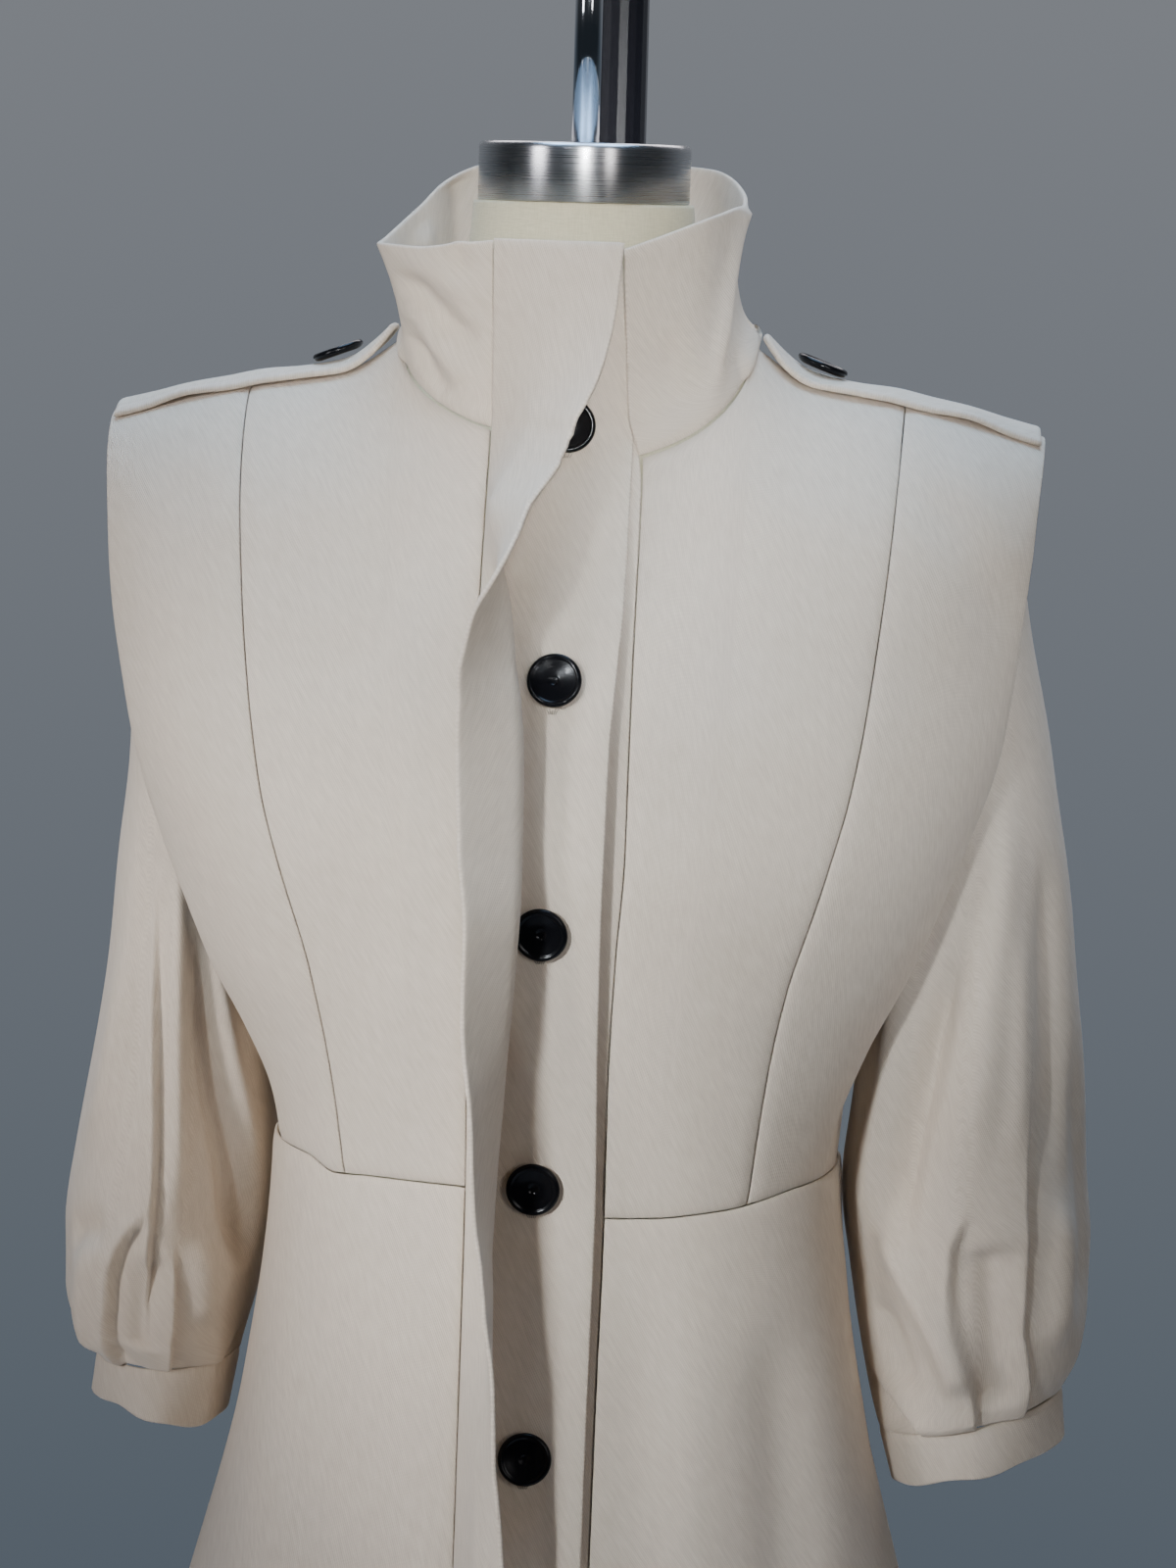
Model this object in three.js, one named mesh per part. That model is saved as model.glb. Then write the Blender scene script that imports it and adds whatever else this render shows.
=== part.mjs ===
// A short coat with concealed fly, standing collar, wing flanges and puff sleeves,
// on a limbless dress form that hangs from its own floor stand.
// Millimetres. +Z up, the coat's front faces -Y, the wearer's left is at +X.
// The origin is on the floor, at the centre of the base plate's underside.
import * as THREE from 'three';

// ---------------------------------------------------------------- driving sizes
const CLOTH = 1.8;                 // wall of every cloth panel
const SEAM = 0.3;                  // gap left at each seam
const HEM = 585;                   // height of the hem
const WAIST = 1050;                // height of the waist seam
const CURVE = 2.3;                 // exponent of the coat's oval sections
const LAYER = 2.6;                 // step from one layer of the front closure to the next

const NECK_HALF = 86;              // half width of the neck seam
const NECK_FRONT = 1414;           // lowest point of the neck seam on the right front
const NECK_FRONT_LEFT = 1404;      // the same on the left front, which is done up lower
const NECK_SIDE = 1459;            // neck seam where it meets the shoulder seam
const NECK_RISE = 13;              // how much higher the neck seam is at the back
const ROUND = 75;                  // drop over which the shoulder rounds over
const ROUND_CURVE = 2.2;
const RIDGE_FRONT = 16;            // rise of the rounding's crest inside the neck seam
const RIDGE_BACK = 31;
const COLLAR_TOP = 1508;           // top of the collar at the centre front

const HINGE = -37;                 // centre-front seam that the fly flap hangs from
const FLAP_WIDTH = 62;
const ARMHOLE = { x: 161, z: 1357.5, high: 71.5, deep: 62 };
const ATTACH = [{ z: WAIST, x: 128 }, { z: 1283, x: 150 }, { z: 1405, x: 159 }];

// Middles of the front buttons.
const BUTTONS = [
  { x: 0.5, z: 1421 }, { x: 0.5, z: 1303.5 }, { x: -2, z: 1186 }, { x: -4, z: 1058.5 },
  { x: -4, z: 927 }, { x: -4, z: 797 }, { x: -4, z: 668 },
];
const STRAP_BUTTON_X = 118;

// Coat sections: half width of the oval, and its depth, at the front and at the back.
const SECTIONS = [
  { z: 585, frontWide: 244, front: 178, backWide: 244, back: 176 },
  { z: 680, frontWide: 220, front: 161, backWide: 220, back: 158 },
  { z: 834, frontWide: 181, front: 133, backWide: 181, back: 128 },
  { z: 886, frontWide: 167, front: 125, backWide: 167, back: 119 },
  { z: 932, frontWide: 157, front: 120, backWide: 157, back: 110 },
  { z: 988, frontWide: 148, front: 114, backWide: 148, back: 98 },
  { z: 1050, frontWide: 143, front: 110, backWide: 143, back: 88 },
  { z: 1075, frontWide: 147.5, front: 112.5, backWide: 149, back: 89.5 },
  { z: 1117, frontWide: 164, front: 118.5, backWide: 169, back: 93 },
  { z: 1154, frontWide: 182, front: 126, backWide: 191, back: 98.5 },
  { z: 1216, frontWide: 207, front: 134, backWide: 220, back: 107.5 },
  { z: 1268, frontWide: 225, front: 129.5, backWide: 239, back: 111.5 },
  { z: 1320, frontWide: 238, front: 116, backWide: 250, back: 109 },
  { z: 1376, frontWide: 258, front: 92, backWide: 262, back: 97 },
  { z: 1419, frontWide: 300, front: 69, backWide: 282, back: 82 },
  { z: 1459, frontWide: 325, front: 56, backWide: 300, back: 81 },
  { z: 1510, frontWide: 330, front: 52, backWide: 310, back: 84 },
];
const SHOULDER = [
  { x: 86, z: 1459 }, { x: 112, z: 1443 }, { x: 140, z: 1438 }, { x: 160, z: 1435 },
  { x: 181, z: 1431 }, { x: 205, z: 1425 }, { x: 229, z: 1419 },
];
const PRINCESS = [
  { z: 1050, x: 99 }, { z: 1108, x: 106 }, { z: 1157, x: 115 }, { z: 1205, x: 129 },
  { z: 1250, x: 141 }, { z: 1300, x: 149 }, { z: 1380, x: 157 }, { z: 1436, x: 161 },
];
const FLANGE_EDGE = [
  { z: 1050, x: 135 }, { z: 1075, x: 139 }, { z: 1117, x: 154 }, { z: 1154, x: 172 },
  { z: 1216, x: 196 }, { z: 1268, x: 212 }, { z: 1320, x: 220 }, { z: 1376, x: 225 },
  { z: 1420, x: 229 },
];
const LEFT_FRONT_EDGE = [
  { z: 585, x: 26 }, { z: 850, x: 27 }, { z: 1045, x: 28 }, { z: 1125, x: 31 },
  { z: 1215, x: 34.5 }, { z: 1404, x: 35 }, { z: 1430, x: 32 }, { z: 1508, x: 24.5 },
];
const STRIP_EDGE = [
  { z: 585, x: 23.5 }, { z: 925, x: 24.2 }, { z: 1064, x: 24.8 }, { z: 1192, x: 25.3 },
  { z: 1276, x: 26.8 }, { z: 1348, x: 30.2 }, { z: 1406, x: 30.6 }, { z: 1450, x: 27 },
  { z: 1508, x: 22 },
];
// Collar: how far round the neck each place is (degrees from the centre front towards the
// wearer's right), where its top edge lies, and how far the middle is drawn in.
const COLLAR = [
  { turn: 25.5, x: -38, y: -80.5, z: 1508, drawn: 0 },
  { turn: 42, x: -58, y: -76, z: 1508.5, drawn: 1 },
  { turn: 58, x: -79, y: -67, z: 1508.5, drawn: 2 },
  { turn: 74, x: -100, y: -48, z: 1508, drawn: 3 },
  { turn: 82, x: -98, y: -35, z: 1512, drawn: 3 },
  { turn: 90, x: -95, y: -20, z: 1517, drawn: 3 },
  { turn: 113, x: -84, y: 13, z: 1528, drawn: 2 },
  { turn: 135, x: -67, y: 42, z: 1538, drawn: 1 },
  { turn: 157, x: -38, y: 60, z: 1543, drawn: 0 },
  { turn: 180, x: 0, y: 66, z: 1544, drawn: 0 },
  { turn: 203, x: 38, y: 61, z: 1544, drawn: 0 },
  { turn: 225, x: 62, y: 46, z: 1542, drawn: 1 },
  { turn: 247, x: 74, y: 24, z: 1534, drawn: 4 },
  { turn: 270, x: 80.5, y: -4, z: 1524.5, drawn: 7 },
  { turn: 278, x: 77, y: -18, z: 1522, drawn: 6 },
  { turn: 286, x: 72, y: -32, z: 1519, drawn: 5 },
  { turn: 302, x: 60, y: -52, z: 1514.5, drawn: 3 },
  { turn: 318, x: 44, y: -65.5, z: 1511, drawn: 1 },
  { turn: 336, x: 26, y: -74, z: 1508, drawn: 0 },
];
// Fly flap, from its hinge seam outwards: the angle of its first stretch off the coat, the
// angle of its second stretch, and the distance from the hinge to the bend between them.
const FLAP = [
  { z: 585, first: 34, second: 34, bend: 30 },
  { z: 632, first: 42, second: 43, bend: 30 },
  { z: 680, first: 49, second: 51, bend: 30 },
  { z: 742, first: 55, second: 58, bend: 30 },
  { z: 805, first: 61, second: 65, bend: 30 },
  { z: 870, first: 67, second: 71, bend: 30 },
  { z: 932, first: 71, second: 80, bend: 30 },
  { z: 985, first: 66, second: 92, bend: 25 },
  { z: 1020, first: 56, second: 100, bend: 20 },
  { z: 1043, first: 49, second: 105, bend: 19 },
  { z: 1063, first: 43, second: 108, bend: 19 },
  { z: 1125, first: 32, second: 118, bend: 21 },
  { z: 1190, first: 22, second: 134, bend: 24 },
  { z: 1232, first: 21, second: 143, bend: 24 },
  { z: 1274, first: 28, second: 140, bend: 23 },
  { z: 1310, first: 39, second: 127, bend: 22 },
  { z: 1340, first: 50, second: 109, bend: 22 },
  { z: 1363, first: 58, second: 95, bend: 24 },
  { z: 1385, first: 57, second: 79, bend: 29 },
  { z: 1402, first: 53, second: 66, bend: 30 },
  { z: 1414, first: 50, second: 59, bend: 30 },
  { z: 1424, first: 46, second: 54, bend: 30 },
  { z: 1450, first: 37, second: 40, bend: 30 },
  { z: 1480, first: 26, second: 27, bend: 30 },
  { z: 1508, first: 18, second: 18, bend: 30 },
];
const STRIP_FROM = -34.5;
const PLACKET_FROM = -28;
// Sleeve rings: the outer and inner ends of each ring, its middle's y and its half depth.
const RIGHT_SLEEVE = [
  { outX: 161.3, outZ: 1429, inX: 161.3, inZ: 1286, y: 0, deep: 62 },
  { outX: 202, outZ: 1404, inX: 166, inZ: 1288, y: 1, deep: 57 },
  { outX: 216, outZ: 1365, inX: 168, inZ: 1276, y: 2, deep: 51 },
  { outX: 219, outZ: 1310, inX: 167, inZ: 1254, y: 3, deep: 48 },
  { outX: 223, outZ: 1255, inX: 164, inZ: 1228, y: 4, deep: 47 },
  { outX: 230, outZ: 1195, inX: 158, inZ: 1180, y: 5, deep: 49 },
  { outX: 240, outZ: 1110, inX: 151.5, inZ: 1100, y: 8, deep: 54 },
  { outX: 247, outZ: 1050, inX: 147.5, inZ: 1045, y: 11, deep: 60 },
  { outX: 250, outZ: 1005, inX: 151, inZ: 1000, y: 13, deep: 62 },
  { outX: 248, outZ: 975, inX: 155, inZ: 970, y: 13, deep: 61 },
  { outX: 241, outZ: 954, inX: 159, inZ: 952, y: 12, deep: 58 },
  { outX: 232.5, outZ: 942, inX: 161.5, inZ: 940, y: 11, deep: 52 },
];
const LEFT_SLEEVE = [
  { outX: 161.3, outZ: 1429, inX: 161.3, inZ: 1286, y: 0, deep: 62 },
  { outX: 203, outZ: 1404, inX: 166, inZ: 1288, y: 1, deep: 57 },
  { outX: 219, outZ: 1365, inX: 168, inZ: 1276, y: 2, deep: 51 },
  { outX: 227, outZ: 1312, inX: 167, inZ: 1254, y: 3, deep: 48 },
  { outX: 237, outZ: 1260, inX: 164, inZ: 1230, y: 4, deep: 47 },
  { outX: 246, outZ: 1200, inX: 158, inZ: 1180, y: 5, deep: 49 },
  { outX: 257, outZ: 1120, inX: 151.5, inZ: 1105, y: 8, deep: 54 },
  { outX: 265, outZ: 1055, inX: 147.5, inZ: 1040, y: 11, deep: 60 },
  { outX: 270, outZ: 1013, inX: 151, inZ: 996, y: 13, deep: 62 },
  { outX: 270, outZ: 985, inX: 155.5, inZ: 964, y: 13, deep: 61 },
  { outX: 265, outZ: 958, inX: 161.5, inZ: 934, y: 12, deep: 56 },
  { outX: 257.5, outZ: 940, inX: 166.5, inZ: 916, y: 11, deep: 50 },
];
// Pleats where a sleeve is set into its cuff: place round the sleeve and depth at the seam.
const PLEATS = [
  { at: -120, deep: 5 }, { at: -75, deep: 7 }, { at: -30, deep: 5 },
  { at: 45, deep: 5 }, { at: 105, deep: 6 },
];
// Lower ends of the cuffs.
const RIGHT_CUFF = { outX: 233, outZ: 920, inX: 167, inZ: 908 };
const LEFT_CUFF = { outX: 258, outZ: 916, inX: 174, inZ: 890 };
// Shoulder strap: half width along its length, and how far it lifts off the shoulder.
const STRAP = [
  { x: 93, half: 11, lift: 7 }, { x: 97, half: 17, lift: 6 }, { x: 103, half: 20.5, lift: 4.5 },
  { x: 118, half: 21.5, lift: 1.4 }, { x: 136, half: 21.5, lift: 0.8 },
  { x: 156, half: 21, lift: 1.6 }, { x: 176, half: 21.5, lift: 0.8 },
  { x: 196, half: 21, lift: 1.3 }, { x: 212, half: 21.5, lift: 0.8 },
  { x: 226, half: 21.5, lift: 0.8 },
];
const STRAP_THICK = 3.6;
// Dress form: half width, depth at front and back, and exponent of each oval section.
const FORM = [
  { z: 790, wide: 160, front: 104, back: 108, curve: 2.2 },
  { z: 800, wide: 166, front: 110, back: 114, curve: 2.2 },
  { z: 850, wide: 168, front: 115, back: 113, curve: 2.2 },
  { z: 910, wide: 154, front: 108, back: 104, curve: 2.2 },
  { z: 970, wide: 140, front: 98, back: 91, curve: 2.2 },
  { z: 1050, wide: 132, front: 92, back: 80, curve: 2.2 },
  { z: 1120, wide: 136, front: 102, back: 84, curve: 2.2 },
  { z: 1190, wide: 144, front: 118, back: 94, curve: 2.2 },
  { z: 1245, wide: 147, front: 123, back: 101, curve: 2.2 },
  { z: 1300, wide: 148, front: 112, back: 102, curve: 2.2 },
  { z: 1350, wide: 148, front: 96, back: 96, curve: 2.1 },
  { z: 1390, wide: 147, front: 78, back: 86, curve: 2 },
  { z: 1415, wide: 144, front: 64, back: 78, curve: 1.8 },
  { z: 1428, wide: 138, front: 58, back: 73, curve: 1.6 },
  { z: 1437, wide: 116, front: 56, back: 68, curve: 1.55 },
  { z: 1448, wide: 97, front: 55, back: 63, curve: 1.7 },
  { z: 1462, wide: 74, front: 54, back: 51, curve: 1.9 },
  { z: 1482, wide: 61, front: 54, back: 49.5, curve: 2 },
  { z: 1505, wide: 56, front: 53, back: 49.5, curve: 2 },
  { z: 1526.7, wide: 54, front: 52, back: 50, curve: 2 },
];
const NECK_Y = -1;
const CAP = { radius: 52, low: 1527, high: 1555.5, bevel: 3 };
const ROD = { radius: 6.75, low: 1555.8, high: 1699.7 };
const ARM = { wide: 34, low: 1700, high: 1722, reach: 290 };
const POST = { y: 270, foot: 21, top: 15, flange: 55, flangeHigh: 8, high: 1699.7 };
const PLATE = { wide: 470, long: 660, thick: 6, corner: 60 };

// ---------------------------------------------------------------- colours
const cloth = () => new THREE.MeshStandardMaterial({ color: 0xd9cbb9, roughness: 0.8, side: THREE.DoubleSide });
const linen = () => new THREE.MeshStandardMaterial({ color: 0xd8cfae, roughness: 0.9 });
const plastic = () => new THREE.MeshStandardMaterial({ color: 0x0c0c0e, roughness: 0.25 });
const steel = () => new THREE.MeshStandardMaterial({ color: 0xb9babd, roughness: 0.3, metalness: 1 });
const enamel = () => new THREE.MeshStandardMaterial({ color: 0x15151a, roughness: 0.35, metalness: 0.3 });

const group = new THREE.Group();

function addMesh(name, geometry, material) {
  const mesh = new THREE.Mesh(geometry, material);
  mesh.name = name;
  group.add(mesh);
  return mesh;
}

// ---------------------------------------------------------------- small mathematics
const mix = (a, b, t) => a + (b - a) * t;
const radians = THREE.MathUtils.degToRad;
const smooth = THREE.MathUtils.smoothstep;
const oval = (share, curve) => Math.max(0, 1 - Math.min(1, Math.abs(share)) ** curve) ** (1 / curve);

// Reads one column of a table at a key, along smooth curves that never overshoot the rows.
function along(rows, key, name, value) {
  const last = rows.length - 1;
  if (value <= rows[0][key]) return rows[0][name];
  if (value >= rows[last][key]) return rows[last][name];
  let i = 0;
  while (rows[i + 1][key] < value) i += 1;
  const slope = (a) => (rows[a + 1][name] - rows[a][name]) / (rows[a + 1][key] - rows[a][key]);
  const tangent = (a) => {
    if (a === 0) return slope(0);
    if (a === last) return slope(last - 1);
    const [left, right] = [slope(a - 1), slope(a)];
    return left * right <= 0 ? 0 : (2 * left * right) / (left + right);
  };
  const span = rows[i + 1][key] - rows[i][key];
  const t = (value - rows[i][key]) / span;
  const [a, b] = [rows[i][name], rows[i + 1][name]];
  const [ta, tb] = [tangent(i) * span, tangent(i + 1) * span];
  return a + t * (ta + t * (3 * (b - a) - 2 * ta - tb + t * (2 * (a - b) + ta + tb)));
}

// ---------------------------------------------------------------- the coat's surface
function ridge(x, side) {
  const reach = Math.abs(x);
  if (reach >= NECK_HALF) return along(SHOULDER, 'x', 'z', reach);
  const rise = side < 0 ? RIDGE_FRONT : RIDGE_BACK;
  return NECK_SIDE + rise * (1 - (reach / NECK_HALF) ** 2);
}

function depth(x, z, side) {
  const wide = along(SECTIONS, 'z', side < 0 ? 'frontWide' : 'backWide', z);
  const deep = along(SECTIONS, 'z', side < 0 ? 'front' : 'back', z);
  return deep * oval(x / wide, CURVE);
}

// How far the right front stands proud, and the left front lies low, beside the closure.
function overlap(x, side) {
  if (side > 0) return 0;
  return x < 0 ? LAYER * smooth(x, -80, HINGE) : -LAYER * (1 - smooth(x, 35, 80));
}

// side is -1 for the front and 1 for the back; level moves the point out of the coat.
function coatPoint(x, z, side, level = overlap(x, side)) {
  const drop = Math.max(0, ridge(x, side) - z);
  const round = oval(Math.max(0, 1 - drop / ROUND), ROUND_CURVE);
  const fade = Math.min(1, drop / 12);
  return new THREE.Vector3(x, side * (depth(x, z, side) * round + level * fade), z);
}

function neckHeight(x, side, lowest = x > 0 ? NECK_FRONT_LEFT : NECK_FRONT) {
  const facing = Math.sqrt(Math.max(0, 1 - (x / NECK_HALF) ** 2));
  return side < 0 ? NECK_SIDE - (NECK_SIDE - lowest) * facing : NECK_SIDE + NECK_RISE * facing;
}

function neckSeam(turn) {
  const x = -NECK_HALF * Math.sin(radians(turn));
  const side = Math.cos(radians(turn)) > 0 ? -1 : 1;
  return coatPoint(x, neckHeight(x, side), side);
}

function topEdge(x, side) {
  return Math.abs(x) >= NECK_HALF ? ridge(x, side) : neckHeight(x, side);
}

// The closure's own surface runs from the hem up over the neck seam to the collar's top.
function closurePoint(x, z, level) {
  const seam = neckHeight(x, -1, NECK_FRONT);
  if (z <= seam) return coatPoint(x, z, -1, level);
  const base = coatPoint(x, seam, -1, level);
  const rise = (z - seam) / (COLLAR_TOP - seam);
  const top = 76 - 0.07 * x + level;
  return new THREE.Vector3(x, mix(base.y, -top, rise), z);
}

// ---------------------------------------------------------------- walls of cloth
// grid[row][column] holds the outer points; the wall goes inwards from them. Outwards is
// to the right-hand side of (along the columns) x (along the rows).
function normals(grid, loop) {
  const columns = grid[0].length;
  return grid.map((row, r) => row.map((point, c) => {
    const left = loop ? row[(c + columns - 1) % columns] : row[Math.max(0, c - 1)];
    const right = loop ? row[(c + 1) % columns] : row[Math.min(columns - 1, c + 1)];
    const below = grid[Math.max(0, r - 1)][c];
    const above = grid[Math.min(grid.length - 1, r + 1)][c];
    const across = right.clone().sub(left);
    return across.cross(above.clone().sub(below)).normalize();
  }));
}

function wallGeometry(outer, inner, loop) {
  const rows = outer.length;
  const columns = outer[0].length;
  const points = [...outer.flat(), ...inner.flat()];
  const at = (layer, r, c) => layer * rows * columns + r * columns + (loop ? c % columns : c);
  const index = [];
  const quad = (a, b, c, d) => index.push(a, b, c, a, c, d);
  const cells = loop ? columns : columns - 1;
  for (let r = 0; r < rows - 1; r += 1) {
    for (let c = 0; c < cells; c += 1) {
      quad(at(0, r, c), at(0, r, c + 1), at(0, r + 1, c + 1), at(0, r + 1, c));
      quad(at(1, r, c), at(1, r + 1, c), at(1, r + 1, c + 1), at(1, r, c + 1));
    }
    if (!loop) {
      quad(at(0, r, 0), at(0, r + 1, 0), at(1, r + 1, 0), at(1, r, 0));
      quad(at(0, r + 1, cells), at(0, r, cells), at(1, r, cells), at(1, r + 1, cells));
    }
  }
  for (let c = 0; c < cells; c += 1) {
    quad(at(0, 0, c + 1), at(0, 0, c), at(1, 0, c), at(1, 0, c + 1));
    quad(at(0, rows - 1, c), at(0, rows - 1, c + 1), at(1, rows - 1, c + 1), at(1, rows - 1, c));
  }
  const geometry = new THREE.BufferGeometry();
  geometry.setAttribute('position', new THREE.Float32BufferAttribute(points.flatMap((p) => p.toArray()), 3));
  geometry.setIndex(index);
  geometry.computeVertexNormals();
  return geometry;
}

// tidy may correct a normal, as at the shoulder seam where both sides must agree.
function addWall(name, grid, { thick = CLOTH, loop = false, tidy = null, material = cloth() } = {}) {
  const facing = normals(grid, loop);
  if (tidy) facing.forEach((row, r) => row.forEach((normal, c) => tidy(normal, grid[r][c], r, c)));
  const inner = grid.map((row, r) => row.map((p, c) => p.clone().addScaledVector(facing[r][c], -thick)));
  addMesh(name, wallGeometry(grid, inner, loop), material);
  return facing;
}

const mirrored = (grid) => grid.map((row) => row.map((p) => new THREE.Vector3(-p.x, p.y, p.z)).reverse());

// ---------------------------------------------------------------- bodice
const BODICE_ROWS = 12;
const ROW_SPREAD = 1.9;            // rows crowd together where the shoulder rounds over

// Neck places where the bodice and the collar share their points, then shoulder places.
const neckX = (turn) => NECK_HALF * Math.sin(radians(turn));
const RIGHT_TOPS = [...[25.5, 42, 58, 74, 82, 90].map(neckX), 111, 136, 161];
const LEFT_TOPS = [...[24, 42, 58, 74, 82, 90].map(neckX), 111, 136, 161];
const BACK_TOPS = [161, 136, 111, ...[90, 67, 45, 23, 0, -23, -45, -67, -90].map(neckX), -111, -136, -161];
const SIDE_TOPS = [161, 178, 195, 212, 229];

// Points of a bodice panel between two seams; tops are the x of each column at the top.
// seamA and seamB give the x of the first and the last column's seam at a height.
function bodicePanel(tops, seamA, seamB, side) {
  const count = tops.length - 1;
  const gap = SEAM * 0.65;
  const inward = Math.sign(tops[count] - tops[0]);
  const rows = [];
  for (let r = 0; r <= BODICE_ROWS; r += 1) {
    const v = r / BODICE_ROWS;
    const height = (top) => top - (top - WAIST) * (1 - v) ** ROW_SPREAD;
    const first = seamA(height(topEdge(tops[0], side)));
    const last = seamB(height(topEdge(tops[count], side)));
    rows.push(tops.map((top, c) => {
      const share = mix(c / count, (top - tops[0]) / (tops[count] - tops[0]), v);
      const trim = c === 0 ? gap : c === count ? -gap : 0;
      const x = mix(first, last, share) + trim * inward;
      const crest = topEdge(mix(x, top, v ** 6), side);
      const z = Math.min(height(topEdge(top, side)), crest);
      const lifted = r === 0 ? z + gap : z;
      const point = coatPoint(x, lifted, side);
      if (Math.abs(point.y) < gap) point.y = side * gap;
      return point;
    }));
  }
  return rows;
}

// At the shoulder seam the wall goes straight down, so that front and back stay apart.
const onShoulder = (normal, point, row) => {
  if (row === BODICE_ROWS && Math.abs(point.y) < 1) {
    normal.y = 0;
    normal.normalize();
  }
};

const princess = (sign) => (z) => sign * along(PRINCESS, 'z', 'x', z);
const flangeEdge = (sign) => (z) => sign * along(FLANGE_EDGE, 'z', 'x', z);
const leftEdge = (z) => along(LEFT_FRONT_EDGE, 'z', 'x', z);
const hinge = () => HINGE;

function addBodice() {
  const negative = (tops) => tops.map((x) => -x).reverse();
  const tidy = onShoulder;
  addWall('front_centre_right', bodicePanel(negative(RIGHT_TOPS), princess(-1), hinge, -1), { tidy });
  addWall('front_centre_left', bodicePanel(LEFT_TOPS, leftEdge, princess(1), -1), { tidy });
  addWall('front_side_right', bodicePanel(negative(SIDE_TOPS), flangeEdge(-1), princess(-1), -1), { tidy });
  addWall('front_side_left', bodicePanel(SIDE_TOPS, princess(1), flangeEdge(1), -1), { tidy });
  addWall('back_centre', bodicePanel(BACK_TOPS, princess(1), princess(-1), 1), { tidy });
  addWall('back_side_right', bodicePanel(negative(SIDE_TOPS).reverse(), princess(-1), flangeEdge(-1), 1), { tidy });
  addWall('back_side_left', bodicePanel([...SIDE_TOPS].reverse(), flangeEdge(1), princess(1), 1), { tidy });
}

// The side panel closes the waist to the armhole, behind the flanges. Its outer border
// runs down the inside of the front, round the waist and up the inside of the back.
const SIDE_INSET = 4.2;            // from the flange's outer face to the side panel's edge
const SIDE_COLUMNS = 24;
const SIDE_ROWS = 3;
const OPEN_TOP = 36;               // degrees left open at the top of the armhole
const ARMHOLE_LOW = 1270;          // above this the side panel stands upright round the armhole

function sideBorder(share) {
  const down = 0.38;
  const low = WAIST + SEAM / 2;
  const high = 1405;
  const side = share < 0.5 ? -1 : 1;
  const from = Math.min(share, 1 - share);
  if (from < down) {
    const z = mix(high, low, from / down);
    const x = along(ATTACH, 'z', 'x', z);
    const reach = Math.abs(coatPoint(x, z, side, 0).y) - SIDE_INSET;
    return new THREE.Vector3(x, side * reach, z);
  }
  const wide = along(SECTIONS, 'z', 'frontWide', WAIST) - 2.4;
  const deep = (Math.abs(coatPoint(ATTACH[0].x, low, side, 0).y) - SIDE_INSET) / oval(ATTACH[0].x / wide, CURVE);
  const start = Math.asin((ATTACH[0].x / wide) ** (CURVE / 2));
  const angle = mix(start, Math.PI / 2, (from - down) / (0.5 - down));
  const x = wide * Math.sin(angle) ** (2 / CURVE);
  return new THREE.Vector3(x, side * deep * Math.max(0, Math.cos(angle)) ** (2 / CURVE), low);
}

function addSidePanels() {
  const rows = [];
  for (let r = 0; r <= SIDE_ROWS; r += 1) {
    const row = [];
    for (let c = 0; c <= SIDE_COLUMNS; c += 1) {
      const share = c / SIDE_COLUMNS;
      const angle = radians(OPEN_TOP + (360 - 2 * OPEN_TOP) * share);
      const ring = new THREE.Vector3(
        ARMHOLE.x,
        -ARMHOLE.deep * Math.sin(angle),
        ARMHOLE.z + ARMHOLE.high * Math.cos(angle),
      );
      row.push(sideBorder(share).lerp(ring, r / SIDE_ROWS));
    }
    rows.push(row);
  }
  const upright = (sign) => (normal, point) => {
    if (point.z > ARMHOLE_LOW) normal.set(sign, 0, 0);
  };
  addWall('side_panel_left', rows, { tidy: upright(1) });
  addWall('side_panel_right', mirrored(rows), { tidy: upright(-1) });
}

// ---------------------------------------------------------------- skirt
const SKIRT_HEIGHTS = [HEM, 680, 757, 834, 886, 932, 988, WAIST - SEAM / 2];

// Columns go round the oval from one x to the other, side seams last or first.
function skirtPanel(startAt, endAt, columns, side) {
  return SKIRT_HEIGHTS.map((z) => {
    const wide = along(SECTIONS, 'z', 'frontWide', z);
    const angleAt = (x) => Math.sign(x) * Math.asin(Math.min(1, Math.abs(x) / wide) ** (CURVE / 2));
    const [first, last] = [angleAt(startAt(z)), angleAt(endAt(z))];
    const row = [];
    for (let c = 0; c <= columns; c += 1) {
      const angle = mix(first, last, c / columns);
      const x = wide * Math.sign(angle) * Math.abs(Math.sin(angle)) ** (2 / CURVE);
      const trim = c === 0 || c === columns ? SEAM / 2 : 0;
      const point = coatPoint(x, z, side);
      if (Math.abs(x) < wide - 1) point.x += trim * Math.sign(endAt(z) - startAt(z)) * (c === 0 ? 1 : -1);
      if (Math.abs(point.y) < SEAM / 2) point.y = (side * SEAM) / 2;
      row.push(point);
    }
    return row;
  });
}

const atSideSeam = (normal, point) => {
  if (Math.abs(point.y) < 1) {
    normal.y = 0;
    normal.normalize();
  }
};

function addSkirt() {
  const sideSeam = (sign) => (z) => sign * along(SECTIONS, 'z', 'frontWide', z);
  const tidy = atSideSeam;
  addWall('skirt_front_right', skirtPanel(sideSeam(-1), hinge, 8, -1), { tidy });
  addWall('skirt_front_left', skirtPanel(leftEdge, sideSeam(1), 8, -1), { tidy });
  addWall('skirt_back', skirtPanel(sideSeam(1), sideSeam(-1), 16, 1), { tidy });
}

// ---------------------------------------------------------------- collar
const COLLAR_ROWS = 4;

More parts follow.
